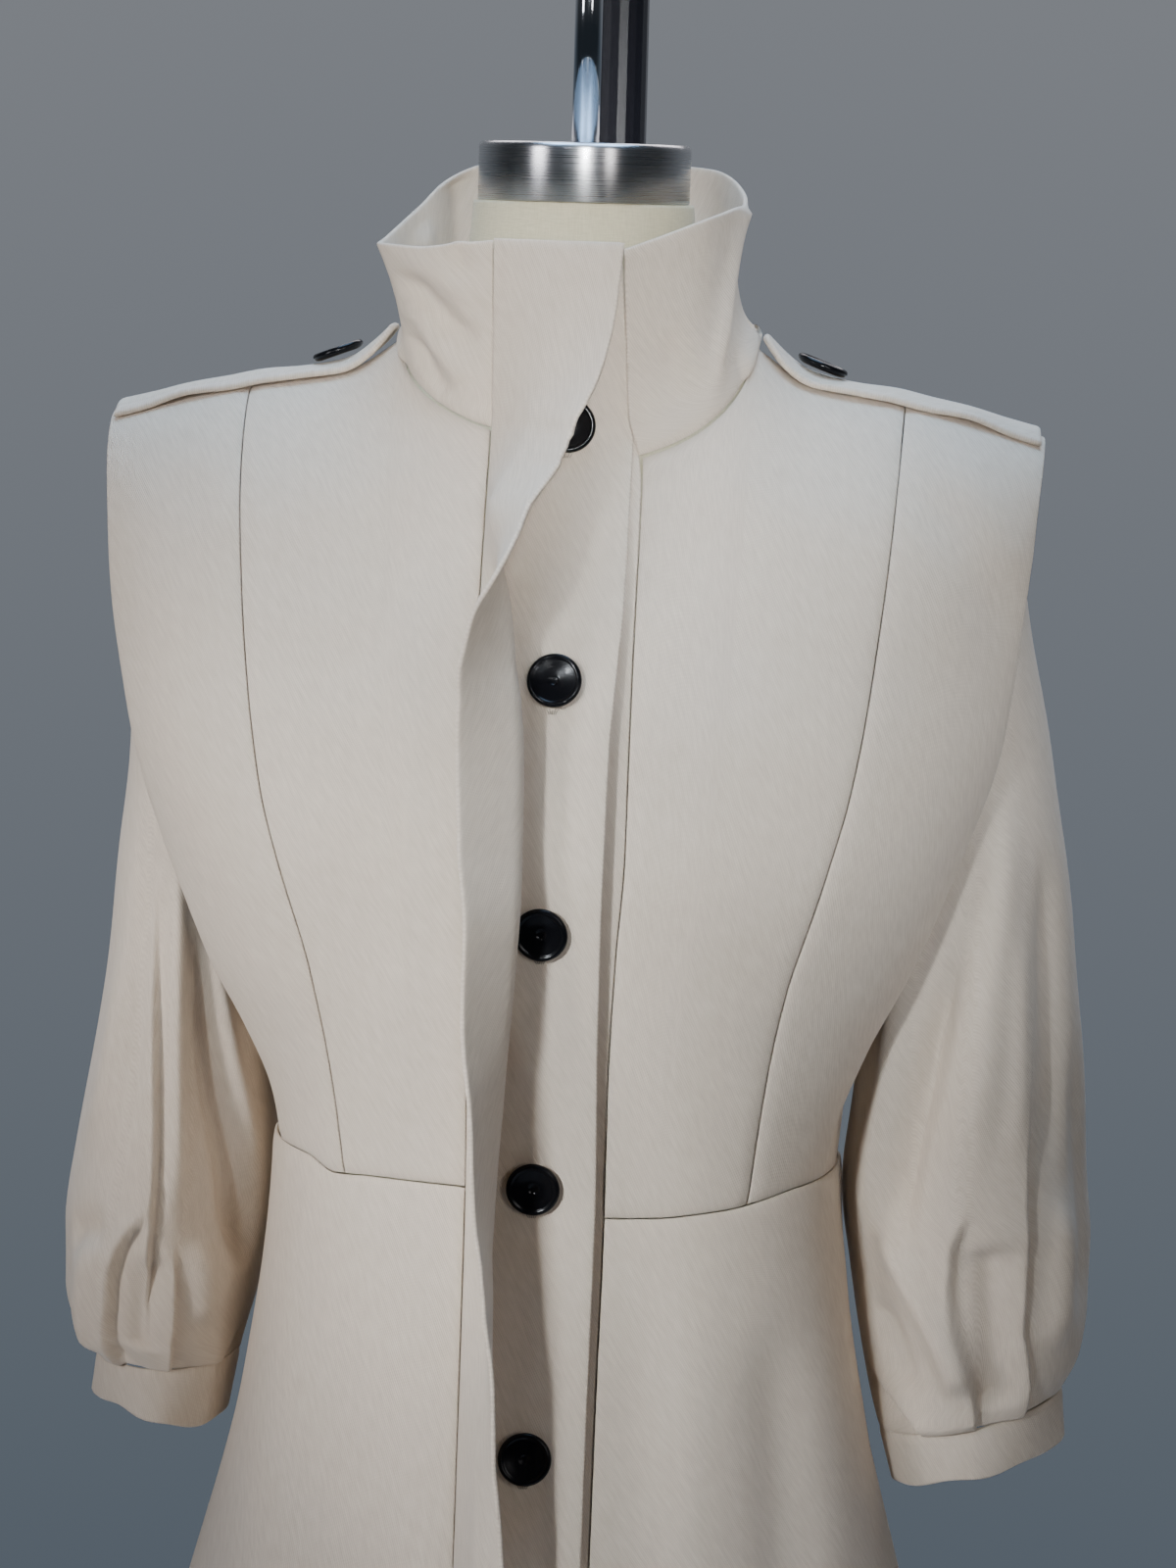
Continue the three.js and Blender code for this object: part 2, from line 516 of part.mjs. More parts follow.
function addCollar() {
  const rows = [];
  for (let r = 0; r <= COLLAR_ROWS; r += 1) {
    const h = r / COLLAR_ROWS;
    rows.push(COLLAR.map((place) => {
      const point = neckSeam(place.turn);
      point.x -= SEAM * (point.x / NECK_HALF) ** 7;
      point.z += 2 * SEAM;
      point.lerp(new THREE.Vector3(place.x, place.y, place.z), h);
      const inward = new THREE.Vector3(-point.x, -point.y - 6, 0).normalize();
      return point.addScaledVector(inward, place.drawn * 4 * h * (1 - h));
    }).reverse());
  }
  addWall('collar', rows);
}

// ---------------------------------------------------------------- front closure
const FLAP_STEPS = 7;
const BEND_REACH = 7;              // half length of the flap's bend

function flapRow(row) {
  const start = closurePoint(HINGE + SEAM, row.z, LAYER);
  const ahead = closurePoint(HINGE + 10, row.z, LAYER).sub(start);
  const lie = Math.atan2(ahead.y, ahead.x);
  const points = [start];
  const stops = [0, row.bend - BEND_REACH, row.bend - 2, row.bend + 2, row.bend + BEND_REACH];
  stops.push(mix(row.bend + BEND_REACH, FLAP_WIDTH, 0.5), FLAP_WIDTH);
  for (let i = 1; i < FLAP_STEPS; i += 1) {
    const length = stops[i] - stops[i - 1];
    const middle = (stops[i] + stops[i - 1]) / 2;
    const turn = smooth(middle, row.bend - BEND_REACH, row.bend + BEND_REACH);
    const angle = lie - radians(mix(row.first, row.second, turn));
    const previous = points[i - 1];
    points.push(new THREE.Vector3(
      previous.x + length * Math.cos(angle),
      previous.y + length * Math.sin(angle),
      row.z,
    ));
  }
  return points;
}

function addClosure() {
  const ribbon = (level, from, to, cells) => FLAP.map(({ z }) => {
    const row = [];
    for (let c = 0; c <= cells; c += 1) row.push(closurePoint(mix(from, to(z), c / cells), z, level));
    return row;
  });
  const stripEdge = (z) => along(STRIP_EDGE, 'z', 'x', z);
  addWall('fly_flap', FLAP.map(flapRow));
  addWall('button_strip', ribbon(0, STRIP_FROM, stripEdge, 3));
  const placketEdge = (z) => leftEdge(z) - SEAM / 2 - 1.4 * smooth(z, NECK_FRONT_LEFT - 12, NECK_FRONT_LEFT + 10);
  addWall('left_placket', ribbon(-LAYER, PLACKET_FROM, placketEdge, 3));
}

// ---------------------------------------------------------------- sleeves and cuffs
const AROUND = 18;

function sleeveRing(ring, sign, shrink, pleat) {
  const middle = new THREE.Vector3((ring.outX + ring.inX) / 2, ring.y, (ring.outZ + ring.inZ) / 2);
  const half = new THREE.Vector3((ring.outX - ring.inX) / 2, 0, (ring.outZ - ring.inZ) / 2);
  const high = half.length();
  const row = [];
  for (let c = 0; c < AROUND; c += 1) {
    const degrees = (360 * c) / AROUND - 180;
    const angle = radians(degrees);
    const dip = PLEATS.reduce((sum, p) => sum + p.deep * Math.exp(-(((degrees - p.at) / 9) ** 2)), 0);
    const less = shrink + dip * pleat;
    const point = middle.clone().addScaledVector(half, (Math.cos(angle) * (high - less)) / high);
    point.y += Math.sin(angle) * (ring.deep - less);
    point.x *= sign;
    row.push(point);
  }
  return sign > 0 ? row : row.reverse();
}

function addTube(name, rings, sign, pleatAt, thick) {
  const layer = (shrink) => rings.map((ring, i) => sleeveRing(ring, sign, shrink, pleatAt(i))).reverse();
  addMesh(name, wallGeometry(layer(0), layer(thick), true), cloth());
}

function addSleeve(name, table, cuff, sign) {
  const last = table.length - 1;
  const pleatAt = (i) => Math.max(0, (i - (last - 5)) / 5) ** 1.5;
  addTube(`sleeve_${name}`, table, sign, pleatAt, CLOTH);
  const seam = table[last];
  const rings = [0, 0.5, 1].map((share) => ({
    outX: mix(seam.outX, cuff.outX, share),
    inX: mix(seam.inX, cuff.inX, share),
    outZ: mix(seam.outZ - SEAM, cuff.outZ, share),
    inZ: mix(seam.inZ - SEAM, cuff.inZ, share),
    y: seam.y,
    deep: seam.deep - 1,
  }));
  addTube(`cuff_${name}`, rings, sign, () => 0, 2.6);
}

// ---------------------------------------------------------------- shoulder straps
const STRAP_CELLS = 6;

function strapPoint(x, y, out) {
  const side = y < 0 ? -1 : 1;
  const reach = depth(x, ridge(x, side), side);
  const share = Math.min(1, Math.abs(y) / reach);
  const drop = ROUND * (1 - (1 - share ** ROUND_CURVE) ** (1 / ROUND_CURVE));
  return new THREE.Vector3(x, y, ridge(x, side) - drop + out);
}

function addStrap(name, sign) {
  const place = (out) => STRAP.map((row) => {
    const points = [];
    for (let c = 0; c <= STRAP_CELLS; c += 1) {
      const across = mix(-row.half, row.half, c / STRAP_CELLS);
      const point = strapPoint(row.x, across, row.lift + out);
      points.push(new THREE.Vector3(point.x * sign, point.y, point.z));
    }
    return sign > 0 ? points.reverse() : points;
  });
  addMesh(`epaulette_${name}`, wallGeometry(place(STRAP_THICK), place(0), false), cloth());
}

// ---------------------------------------------------------------- buttons
const BUTTON = { radius: 13, rim: 11.2, thick: 4, dish: 3.1, segments: 12 };

function buttonGeometry() {
  const profile = [
    [0, 0], [BUTTON.radius - 1.5, 0], [BUTTON.radius, 1.8], [BUTTON.rim, BUTTON.thick],
    [BUTTON.rim - 2, BUTTON.dish], [0, BUTTON.dish],
  ];
  const points = profile.map(([r, h]) => new THREE.Vector2(r, h));
  return new THREE.LatheGeometry(points, BUTTON.segments).rotateX(Math.PI / 2);
}

function addButton(name, place, facing) {
  const mesh = addMesh(name, buttonGeometry(), plastic());
  mesh.quaternion.setFromUnitVectors(new THREE.Vector3(0, 0, 1), facing);
  mesh.position.copy(place).addScaledVector(facing, SEAM);
}

// A button lies across what it is sewn to, so it stands on the two ends of its own width
// where these are further out than its middle. Outwards is across x (low to high).
function seatButton(name, across, low, middle, high) {
  const facing = across.clone().cross(high.clone().sub(low)).normalize();
  const chord = low.clone().add(high).multiplyScalar(0.5);
  const proud = Math.max(0, chord.sub(middle).dot(facing));
  addButton(name, middle.clone().addScaledVector(facing, proud), facing);
}

function addButtons() {
  const reach = BUTTON.radius;
  BUTTONS.forEach(({ x, z }, i) => {
    const place = (height) => closurePoint(x, height, 0);
    const across = new THREE.Vector3(1, 0, 0);
    seatButton(`button_${i + 1}`, across, place(z - reach), place(z), place(z + reach));
  });
  for (const sign of [1, -1]) {
    const place = (x) => {
      const point = strapPoint(x, 0, along(STRAP, 'x', 'lift', x) + STRAP_THICK);
      point.x *= sign;
      return point;
    };
    const across = new THREE.Vector3(0, -sign, 0);
    const [near, far] = [place(STRAP_BUTTON_X - reach), place(STRAP_BUTTON_X + reach)];
    seatButton(`epaulette_button_${sign > 0 ? 'left' : 'right'}`, across, near, place(STRAP_BUTTON_X), far);
  }
}

// ---------------------------------------------------------------- dress form
const FORM_AROUND = 24;
const FORM_CLEAR = 2.9;            // from the coat's outer face to the form, under the cloth

function formRing(row) {
  const points = [];
  for (let c = 0; c < FORM_AROUND; c += 1) {
    const angle = (2 * Math.PI * c) / FORM_AROUND;
    const [sine, cosine] = [Math.sin(angle), Math.cos(angle)];
    const x = row.wide * Math.sign(cosine) * Math.abs(cosine) ** (2 / row.curve);
    const side = sine < 0 ? -1 : 1;
    const own = (side < 0 ? row.front : row.back) * Math.abs(sine) ** (2 / row.curve);
    const under = Math.abs(coatPoint(x, row.z + FORM_CLEAR, side, 0).y) - FORM_CLEAR;
    const covered = row.z > 1300 && row.z < NECK_SIDE;
    points.push(new THREE.Vector3(x, side * (covered ? Math.min(own, Math.max(0, under)) : own), row.z));
  }
  return points;
}

function solidFromRings(rings) {
  const around = rings[0].length;
  const points = rings.flat();
  const index = [];
  for (let r = 0; r < rings.length - 1; r += 1) {
    for (let c = 0; c < around; c += 1) {
      const [a, b] = [r * around + c, r * around + ((c + 1) % around)];
      index.push(a, b, b + around, a, b + around, a + around);
    }
  }
  const cap = (r, flip) => {
    const centre = points.length;
    const middle = rings[r].reduce((sum, p) => sum.add(p), new THREE.Vector3()).divideScalar(around);
    points.push(middle);
    for (let c = 0; c < around; c += 1) {
      const [a, b] = [r * around + c, r * around + ((c + 1) % around)];
      index.push(centre, ...(flip ? [b, a] : [a, b]));
    }
  };
  cap(0, true);
  cap(rings.length - 1, false);
  const geometry = new THREE.BufferGeometry();
  geometry.setAttribute('position', new THREE.Float32BufferAttribute(points.flatMap((p) => p.toArray()), 3));
  geometry.setIndex(index);
  geometry.computeVertexNormals();
  return geometry;
}

function lathe(profile, segments) {
  const points = profile.map(([r, h]) => new THREE.Vector2(r, h));
  return new THREE.LatheGeometry(points, segments).rotateX(Math.PI / 2);
}

function addForm() {
  addMesh('form_torso', solidFromRings(FORM.map(formRing)), linen());
  const { radius, low, high, bevel } = CAP;
  const capShape = lathe([[0, low], [radius, low], [radius, high - bevel], [radius - bevel, high], [0, high]], 32);
  addMesh('neck_cap', capShape, steel()).position.y = NECK_Y;
}

// ---------------------------------------------------------------- stand
function addStand() {
  const rod = lathe([[0, ROD.low], [ROD.radius, ROD.low], [ROD.radius, ROD.high], [0, ROD.high]], 16);
  addMesh('hanging_rod', rod, steel()).position.y = NECK_Y;

  const arm = new THREE.Shape();
  const half = ARM.wide / 2;
  const back = ARM.reach;
  arm.moveTo(half, 0);
  arm.lineTo(half, back);
  arm.absarc(0, back, half, 0, Math.PI, false);
  arm.lineTo(-half, 0);
  arm.absarc(0, 0, half, Math.PI, 2 * Math.PI, false);
  const armShape = new THREE.ExtrudeGeometry(arm, { depth: ARM.high - ARM.low, bevelEnabled: false, curveSegments: 8 });
  addMesh('stand_arm', armShape, enamel()).position.z = ARM.low;

  const { foot, top, flange, flangeHigh, high } = POST;
  const start = PLATE.thick + SEAM;
  const post = lathe([
    [0, start], [flange, start], [flange, start + flangeHigh], [foot + 6, start + flangeHigh + 4],
    [foot, start + flangeHigh + 14], [top, high], [0, high],
  ], 20);
  addMesh('stand_post', post, enamel()).position.y = POST.y;

  const plate = new THREE.Shape();
  const [w, l, c] = [PLATE.wide / 2, PLATE.long / 2, PLATE.corner];
  plate.moveTo(w, l - c);
  plate.absarc(w - c, l - c, c, 0, Math.PI / 2, false);
  plate.absarc(c - w, l - c, c, Math.PI / 2, Math.PI, false);
  plate.absarc(c - w, c - l, c, Math.PI, 1.5 * Math.PI, false);
  plate.absarc(w - c, c - l, c, 1.5 * Math.PI, 2 * Math.PI, false);
  const plateShape = new THREE.ExtrudeGeometry(plate, { depth: PLATE.thick, bevelEnabled: false, curveSegments: 8 });
  addMesh('stand_base', plateShape, enamel());
}

addBodice();
addSidePanels();
addSkirt();
addCollar();
addClosure();
addSleeve('right', RIGHT_SLEEVE, RIGHT_CUFF, -1);
addSleeve('left', LEFT_SLEEVE, LEFT_CUFF, 1);
addStrap('right', -1);
addStrap('left', 1);
addButtons();
addForm();
addStand();

export default group;
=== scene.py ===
"""A short fly-front trench coat on a limbless dress form, in Blender metres.

Lengths in the tables are millimetres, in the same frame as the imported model:
+Z up, the coat's front faces -Y, the wearer's left is at +X.
"""
import math

import bpy
import numpy as np
from mathutils import Matrix, Vector


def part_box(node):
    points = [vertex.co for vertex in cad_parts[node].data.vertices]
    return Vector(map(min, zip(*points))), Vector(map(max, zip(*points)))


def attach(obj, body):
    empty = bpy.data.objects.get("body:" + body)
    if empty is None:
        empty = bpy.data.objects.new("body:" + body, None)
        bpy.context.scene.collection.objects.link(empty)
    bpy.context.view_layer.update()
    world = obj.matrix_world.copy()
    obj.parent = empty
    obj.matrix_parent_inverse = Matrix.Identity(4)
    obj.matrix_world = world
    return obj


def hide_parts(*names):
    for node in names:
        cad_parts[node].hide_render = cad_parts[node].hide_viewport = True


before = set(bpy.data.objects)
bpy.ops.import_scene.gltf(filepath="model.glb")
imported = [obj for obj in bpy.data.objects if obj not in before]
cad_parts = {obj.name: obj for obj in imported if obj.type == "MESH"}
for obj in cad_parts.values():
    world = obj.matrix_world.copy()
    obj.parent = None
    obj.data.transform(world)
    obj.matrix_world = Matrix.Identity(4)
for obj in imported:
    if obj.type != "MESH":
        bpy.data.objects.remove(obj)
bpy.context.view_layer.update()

MM = 0.001

# ---- driving sizes, mm
CLOTH = 1.8              # one wall of cloth, with its turnings
FOLDED = 2.4             # the flap, the collar and the cuffs, folded double
HEM = 585
WAIST = 1050
CURVE = 2.3              # exponent of the coat's oval sections
LAYER = 2.6              # step from one layer of the closure to the next
NECK_HALF = 86
NECK_FRONT = 1414        # lowest point of the neck seam on the right front
NECK_FRONT_LEFT = 1403   # the same on the left front, which is done up lower
NECK_SIDE = 1459
NECK_RISE = 13
NECK_SOFT = 9            # the closure's bend over the neck seam is smoothed over this
ROUND = 75               # drop over which the shoulder rounds over
ROUND_CURVE = 2.2
RIDGE_FRONT = 16
RIDGE_BACK = 31
COLLAR_TOP = 1508
COLLAR_REACH = 76        # how far forward the closure's top edge stands
HINGE = -37
FLAP_WIDTH = 62
SEAM_TRIM = 0.65         # each panel stops this far short of its seam line
SEAM_ROUND = 0.5         # how far a seam edge bulges towards the seam line
SEAM_SINK = 0.8          # how deep the cloth sinks beside a seam
SEAM_SINK_WIDE = 3.2
RIDGE_FADE = 12          # drop over which the closure's levels part below the shoulder ridge
RIDGE_FLAT = 1.5         # cloth this near the plane y = 0 faces along it
ARMHOLE = dict(x=161, z=1357.5, high=71.5, deep=62)


def table(names, rows):
    """Named columns from rows of numbers."""
    return {name: np.array(column, float) for name, column in zip(names.split(), zip(*rows))}


# Coat sections: half width of the oval and its depth, at the front and at the back.
SECTIONS = table("z front_wide front back_wide back", [
    (585, 244, 178, 244, 176), (680, 220, 161, 220, 158), (834, 181, 133, 181, 128),
    (886, 167, 125, 167, 119), (932, 157, 120, 157, 110), (988, 148, 114, 148, 98),
    (1050, 143, 110, 143, 88), (1075, 147.5, 112.5, 149, 89.5), (1117, 164, 118.5, 169, 93),
    (1154, 182, 126, 191, 98.5), (1216, 207, 134, 220, 107.5), (1268, 225, 129.5, 239, 111.5),
    (1320, 238, 116, 250, 109), (1376, 258, 92, 262, 97), (1419, 300, 69, 282, 82),
    (1459, 325, 56, 300, 81), (1510, 330, 52, 310, 84)])
SHOULDER = table("x z", [
    (86, 1459), (112, 1443), (140, 1438), (160, 1435), (181, 1431), (205, 1425), (229, 1419)])
PRINCESS = table("z x", [
    (1050, 99), (1108, 106), (1157, 115), (1205, 129), (1250, 141), (1300, 149), (1380, 157),
    (1436, 161)])
FLANGE_EDGE = table("z x", [
    (1050, 135), (1075, 139), (1117, 154), (1154, 172), (1216, 196), (1268, 212), (1320, 220),
    (1376, 225), (1420, 229)])
LEFT_FRONT_EDGE = table("z x", [
    (585, 27.5), (945, 29), (1050, 30.2), (1110, 30.6), (1170, 33), (1225, 36.4), (1303, 36.6),
    (1380, 36.6), (1404, 36), (1430, 32.5), (1508, 24.5)])
STRIP_EDGE = table("z x", [
    (585, 23.5), (925, 24.2), (1064, 25.4), (1118, 24.8), (1192, 25.4), (1225, 26), (1276, 26.8),
    (1303, 28.4), (1348, 30.6), (1406, 30.6), (1450, 27), (1508, 22)])
# How far each part of the waist seam hangs above its level.
SETTLE = table("x rise", [
    (-143, 12), (-120, 11), (-104, 5), (-85, 6.5), (-45, 7), (-8, 0), (28, -7), (56, -6.6),
    (75, -5), (94, -3), (108, 0), (122, 3), (143, 4.5)])
SETTLE_REACH = 110       # the unevenness dies out this far from the waist seam
ATTACH = table("z x", [(1050, 128), (1283, 150), (1405, 159)])

# Collar, round the neck from the centre front towards the wearer's right: where its top
# edge lies and how far its middle is drawn in.
COLLAR = table("turn x y z drawn", [
    (25.5, -38, -80.5, 1507, 0), (42, -56.5, -76, 1505, 1), (58, -75, -67, 1503, 2),
    (74, -96, -48, 1504, 3), (82, -94.5, -35, 1506, 3), (90, -91.5, -20, 1510, 3),
    (113, -82, 13, 1522, 2), (135, -68, 42, 1538, 1), (148, -52, 55, 1543, 0),
    (180, 0, 66, 1544.5, 0), (203, 38, 61, 1544.5, 0), (225, 62, 46, 1543, 1),
    (247, 75, 24, 1537, 4), (270, 80.5, -4, 1528.5, 7), (278, 78, -18, 1526.5, 6),
    (286, 73.5, -32, 1524, 5), (302, 61, -52, 1519, 3), (318, 44, -65, 1512, 1),
    (336, 26, -74, 1505, 0)])
# Fly flap: angle of its first stretch off the coat, of its second, and where it bends.
FLAP = table("z first second bend", [
    (585, 34, 34, 30), (632, 40, 40, 30), (680, 46, 44, 34), (742, 52, 44, 38),
    (805, 60, 38, 42), (870, 67, 34, 44), (900, 68, 40, 44), (932, 68, 54, 43),
    (960, 63, 69, 38), (985, 56, 78, 32), (1010, 52, 85, 28), (1030, 54, 87, 28),
    (1050, 52, 94, 28), (1075, 49, 100, 28), (1110, 43, 109, 28), (1150, 38, 127, 30),
    (1190, 32, 136, 31), (1232, 21, 143, 28), (1274, 25, 147, 28), (1295, 33, 141, 28),
    (1318, 40, 126, 25), (1340, 51, 111, 25), (1363, 72, 80, 29), (1385, 82, 52, 32),
    (1402, 68, 45, 32), (1424, 46, 34, 32), (1450, 34, 19, 30), (1480, 25, 10, 30),
    (1508, 19, 10, 30)])
# Sleeve rings: outer and inner end of each ring, its middle's y and its half depth.
SLEEVE_COLUMNS = "out_x out_z in_x in_z y deep"
RIGHT_SLEEVE = table(SLEEVE_COLUMNS, [
    (161.3, 1429, 161.3, 1286, 0, 62), (202, 1404, 166, 1288, 1, 57),
    (216, 1365, 168, 1276, 2, 51), (218, 1310, 167, 1254, 3, 48), (220, 1255, 164, 1228, 4, 47),
    (225, 1195, 158, 1180, 2.5, 46), (235.5, 1110, 150.5, 1100, 8, 54), (246, 1050, 144.5, 1045, 13, 60),
    (252, 1005, 149.5, 1000, 15, 62), (251.5, 975, 154.5, 970, 14, 61), (245, 954, 159, 952, 12, 58),
    (234, 941, 161.5, 940, 11, 52)])
LEFT_SLEEVE = table(SLEEVE_COLUMNS, [
    (161.3, 1429, 161.3, 1286, 0, 62), (203, 1404, 166, 1288, 1, 57),
    (219, 1365, 168, 1276, 2, 51), (229, 1312, 167, 1254, 3, 48), (240, 1260, 164, 1230, 4, 47),
    (250.5, 1200, 157, 1180, 5, 49), (261, 1120, 149.5, 1105, 8, 54), (266.5, 1055, 143.5, 1040, 13, 60),
    (270.5, 1013, 149, 996, 15, 62), (270.5, 985, 154.5, 964, 14, 61), (267, 958, 161, 934, 12, 56),
    (259, 940, 166.5, 916, 11, 50)])
SLEEVE_SKEW = 12         # the sleeve's inner side lies this much further back, at its fullest
RIGHT_CUFF = dict(out_x=233, out_z=920, in_x=167, in_z=908, round=265)
LEFT_CUFF = dict(out_x=258, out_z=916, in_x=174, in_z=890, round=290)
STRAP = table("x half lift", [
    (93, 11, 7), (97, 17, 6), (103, 20.5, 4.5), (118, 21.5, 1.4), (136, 21.5, 0.8),
    (156, 21, 1.6), (176, 21.5, 0.8), (196, 21, 1.3), (212, 21.5, 0.8), (226, 21.5, 0.8)])
STRAP_THICK = 3.6
STRAP_BUTTON_X = 118
BUTTON_RADIUS = 13
# Dress form: half width, depth at front and back, and exponent of each oval section.
FORM = table("z wide front back curve", [
    (790, 160, 104, 108, 2.2), (800, 166, 110, 114, 2.2), (850, 168, 115, 113, 2.2),
    (910, 154, 108, 104, 2.2), (970, 140, 98, 91, 2.2), (1050, 132, 92, 80, 2.2),
    (1120, 136, 102, 84, 2.2), (1190, 144, 118, 94, 2.2), (1245, 147, 123, 101, 2.2),
    (1300, 148, 112, 102, 2.2), (1350, 148, 96, 96, 2.1), (1390, 147, 78, 86, 2),
    (1415, 144, 64, 78, 1.8), (1428, 138, 58, 73, 1.6), (1437, 116, 56, 68, 1.55),
    (1448, 97, 55, 63, 1.7), (1462, 74, 54, 51, 1.9), (1482, 61, 54, 49.5, 2),
    (1505, 56, 53, 49.5, 2), (1526.7, 54, 52, 50, 2)])
FORM_CLEAR = 2.9

# ---- small mathematics


def mix(a, b, t):
    return a + (b - a) * t


def smooth(value, low, high):
    t = np.clip((value - low) / (high - low), 0, 1)
    return t * t * (3 - 2 * t)


def oval(share, curve):
    return np.maximum(0, 1 - np.minimum(1, np.abs(share)) ** curve) ** (1 / curve)


def through(keys, values, at):
    """Smooth curve through the rows that never overshoots them."""
    at = np.clip(at, keys[0], keys[-1])
    i = np.clip(np.searchsorted(keys, at, side="right") - 1, 0, len(keys) - 2)
    span = np.diff(keys)
    slope = np.diff(values) / span
    left, right = slope[:-1], slope[1:]
    same = left * right > 0
    inner = np.where(same, 2 * left * right / np.where(same, left + right, 1), 0)
    tangent = np.concatenate([slope[:1], inner, slope[-1:]])
    t = (at - keys[i]) / span[i]
    a, b = values[i], values[i + 1]
    ta, tb = tangent[i] * span[i], tangent[i + 1] * span[i]
    return a + t * (ta + t * (3 * (b - a) - 2 * ta - tb + t * (2 * (a - b) + ta + tb)))


def along(rows, key, name, at):
    return through(rows[key], rows[name], np.asarray(at, float))


def unit(vectors):
    return vectors / np.maximum(np.linalg.norm(vectors, axis=-1, keepdims=True), 1e-9)


def down_rows(start, end, count):
    return np.linspace(start, end, count)[:, None]


def across_columns(start, end, count):
    return np.linspace(start, end, count)[None, :]


def points(*coordinates):
    return np.stack(np.broadcast_arrays(*coordinates), axis=-1).astype(float)


def mirrored(grid):
    """The same surface on the wearer's right, with its columns the other way round."""
    return grid[:, ::-1] * np.array([-1, 1, 1])


# ---- the coat's surface


def ridge(x, side):
    reach = np.abs(x)
    rise = RIDGE_FRONT if side < 0 else RIDGE_BACK
    inside = NECK_SIDE + rise * (1 - (reach / NECK_HALF) ** 2)
    return np.where(reach >= NECK_HALF, along(SHOULDER, "x", "z", reach), inside)


def depth(x, z, side):
    name = "front" if side < 0 else "back"
    wide = along(SECTIONS, "z", name + "_wide", z)
    return along(SECTIONS, "z", name, z) * oval(x / wide, CURVE)


def overlap(x, side):
    """The right front stands proud beside the closure, and the left front lies low."""
    if side > 0:
        return np.zeros_like(x)
    return np.where(x < 0, LAYER * smooth(x, -80, HINGE), -LAYER * (1 - smooth(x, 35, 80)))


def coat_point(x, z, side, level=None):
    x, z = np.broadcast_arrays(np.asarray(x, float), np.asarray(z, float))
    level = overlap(x, side) if level is None else level
    drop = np.maximum(0, ridge(x, side) - z)
    rounded = oval(np.maximum(0, 1 - drop / ROUND), ROUND_CURVE)
    fade = np.minimum(1, drop / RIDGE_FADE)
    return points(x, side * (depth(x, z, side) * rounded + level * fade), z)


def settled(x, z):
    """Height of a point of the coat that would be at z if the waist seam hung level."""
    return z + along(SETTLE, "x", "rise", x) * (1 - smooth(np.abs(z - WAIST), 0, SETTLE_REACH))


def neck_height(x, side, lowest=None):
    lowest = np.where(x > 0, NECK_FRONT_LEFT, NECK_FRONT) if lowest is None else lowest
    facing = np.sqrt(np.maximum(0, 1 - (x / NECK_HALF) ** 2))
    return NECK_SIDE - (NECK_SIDE - lowest) * facing if side < 0 else NECK_SIDE + NECK_RISE * facing


def top_edge(x, side):
    return np.where(np.abs(x) >= NECK_HALF, ridge(x, side), neck_height(x, side))


def neck_seam(turn):
    """Points of the neck seam, turn in degrees from the centre front."""
    x = -NECK_HALF * np.sin(np.radians(turn))
    front = coat_point(x, neck_height(x, -1), -1)
    back = coat_point(x, neck_height(x, 1), 1)
    return np.where((np.cos(np.radians(turn)) > 0)[..., None], front, back)


def closure_point(x, z, level):
    """The closure's surface, from the hem up over the neck seam to the collar's top."""
    x, z = np.broadcast_arrays(np.asarray(x, float), np.asarray(z, float))

    def reach(height):
        seam = neck_height(x, -1, NECK_FRONT)
        below = -coat_point(x, np.minimum(height, seam), -1, level)[..., 1]
        rise = np.clip((height - seam) / (COLLAR_TOP - seam), 0, None)
        return mix(below, COLLAR_REACH - 0.07 * x + level, rise)

    near = 1 - smooth(np.abs(z - NECK_FRONT), NECK_SOFT, 3 * NECK_SOFT)
    blurred = sum(reach(z + step * NECK_SOFT) for step in (-1, -0.5, 0, 0.5, 1)) / 5
    return points(x, -mix(reach(z), blurred, near), z)


# ---- folds and unevenness


FOLD_REST = (0, 0.3, 0.3)


def folds(*rows):
    """Rows of fold lines: both ends on the map, height, and width each side of the line.

    A row may go on with its bow, 0 if left out, and with the shares of its length over
    which it fades in and out, 0.3 each if left out."""
    return [row + FOLD_REST[len(row) - 6:] for row in rows]


def crease(where, rows):
    """Soft ridges (high > 0) and troughs along bowed lines on a flat map of a surface.

    where holds two map coordinates per point."""
    total = np.zeros(where.shape[:-1])
    for a_x, a_y, b_x, b_y, high, wide, bow, start, end in rows:
        a = np.array((a_x, a_y), float)
        run = np.array((b_x, b_y), float) - a
        length = np.linalg.norm(run)
        across = np.array([-run[1], run[0]]) / length
        t = np.clip((where - a) @ run / length ** 2, 0, 1)
        centre = a + t[..., None] * run + (bow * 4 * t * (1 - t))[..., None] * across
        away = np.linalg.norm(where - centre, axis=-1) / wide
        total += high * np.exp(-away ** 2) * smooth(t, 0, start) * (1 - smooth(t, 1 - end, 1))
    return total


def unevenness(p, seed, size=1.0):
    """Low, wide waves that keep a large plain surface from looking machined."""
    waves = [(0.031, 0.017, 0.9), (-0.019, 0.043, 2.1), (0.052, -0.029, 4.0), (0.011, 0.071, 5.3)]
    a = p[..., 0] + 0.6 * p[..., 1]
    total = sum(np.sin(a * u + p[..., 2] * v + w + seed) for u, v, w in waves)
    return 0.22 * size * total


# ---- shells of cloth

RIM = 4                  # steps round a rolled or folded edge


def surface_normals(grid, loop=False):
    if loop:
        across = np.roll(grid, -1, axis=1) - np.roll(grid, 1, axis=1)
    else:
        across = np.gradient(grid, axis=1)
    upward = np.gradient(grid, axis=0)
    return unit(np.cross(across, upward))


def arc(grid, axis):
    steps = np.linalg.norm(np.diff(grid, axis=axis), axis=-1)
    zero = np.zeros_like(np.take(steps, [0], axis=axis))
    return np.concatenate([zero, np.cumsum(steps, axis=axis)], axis=axis)


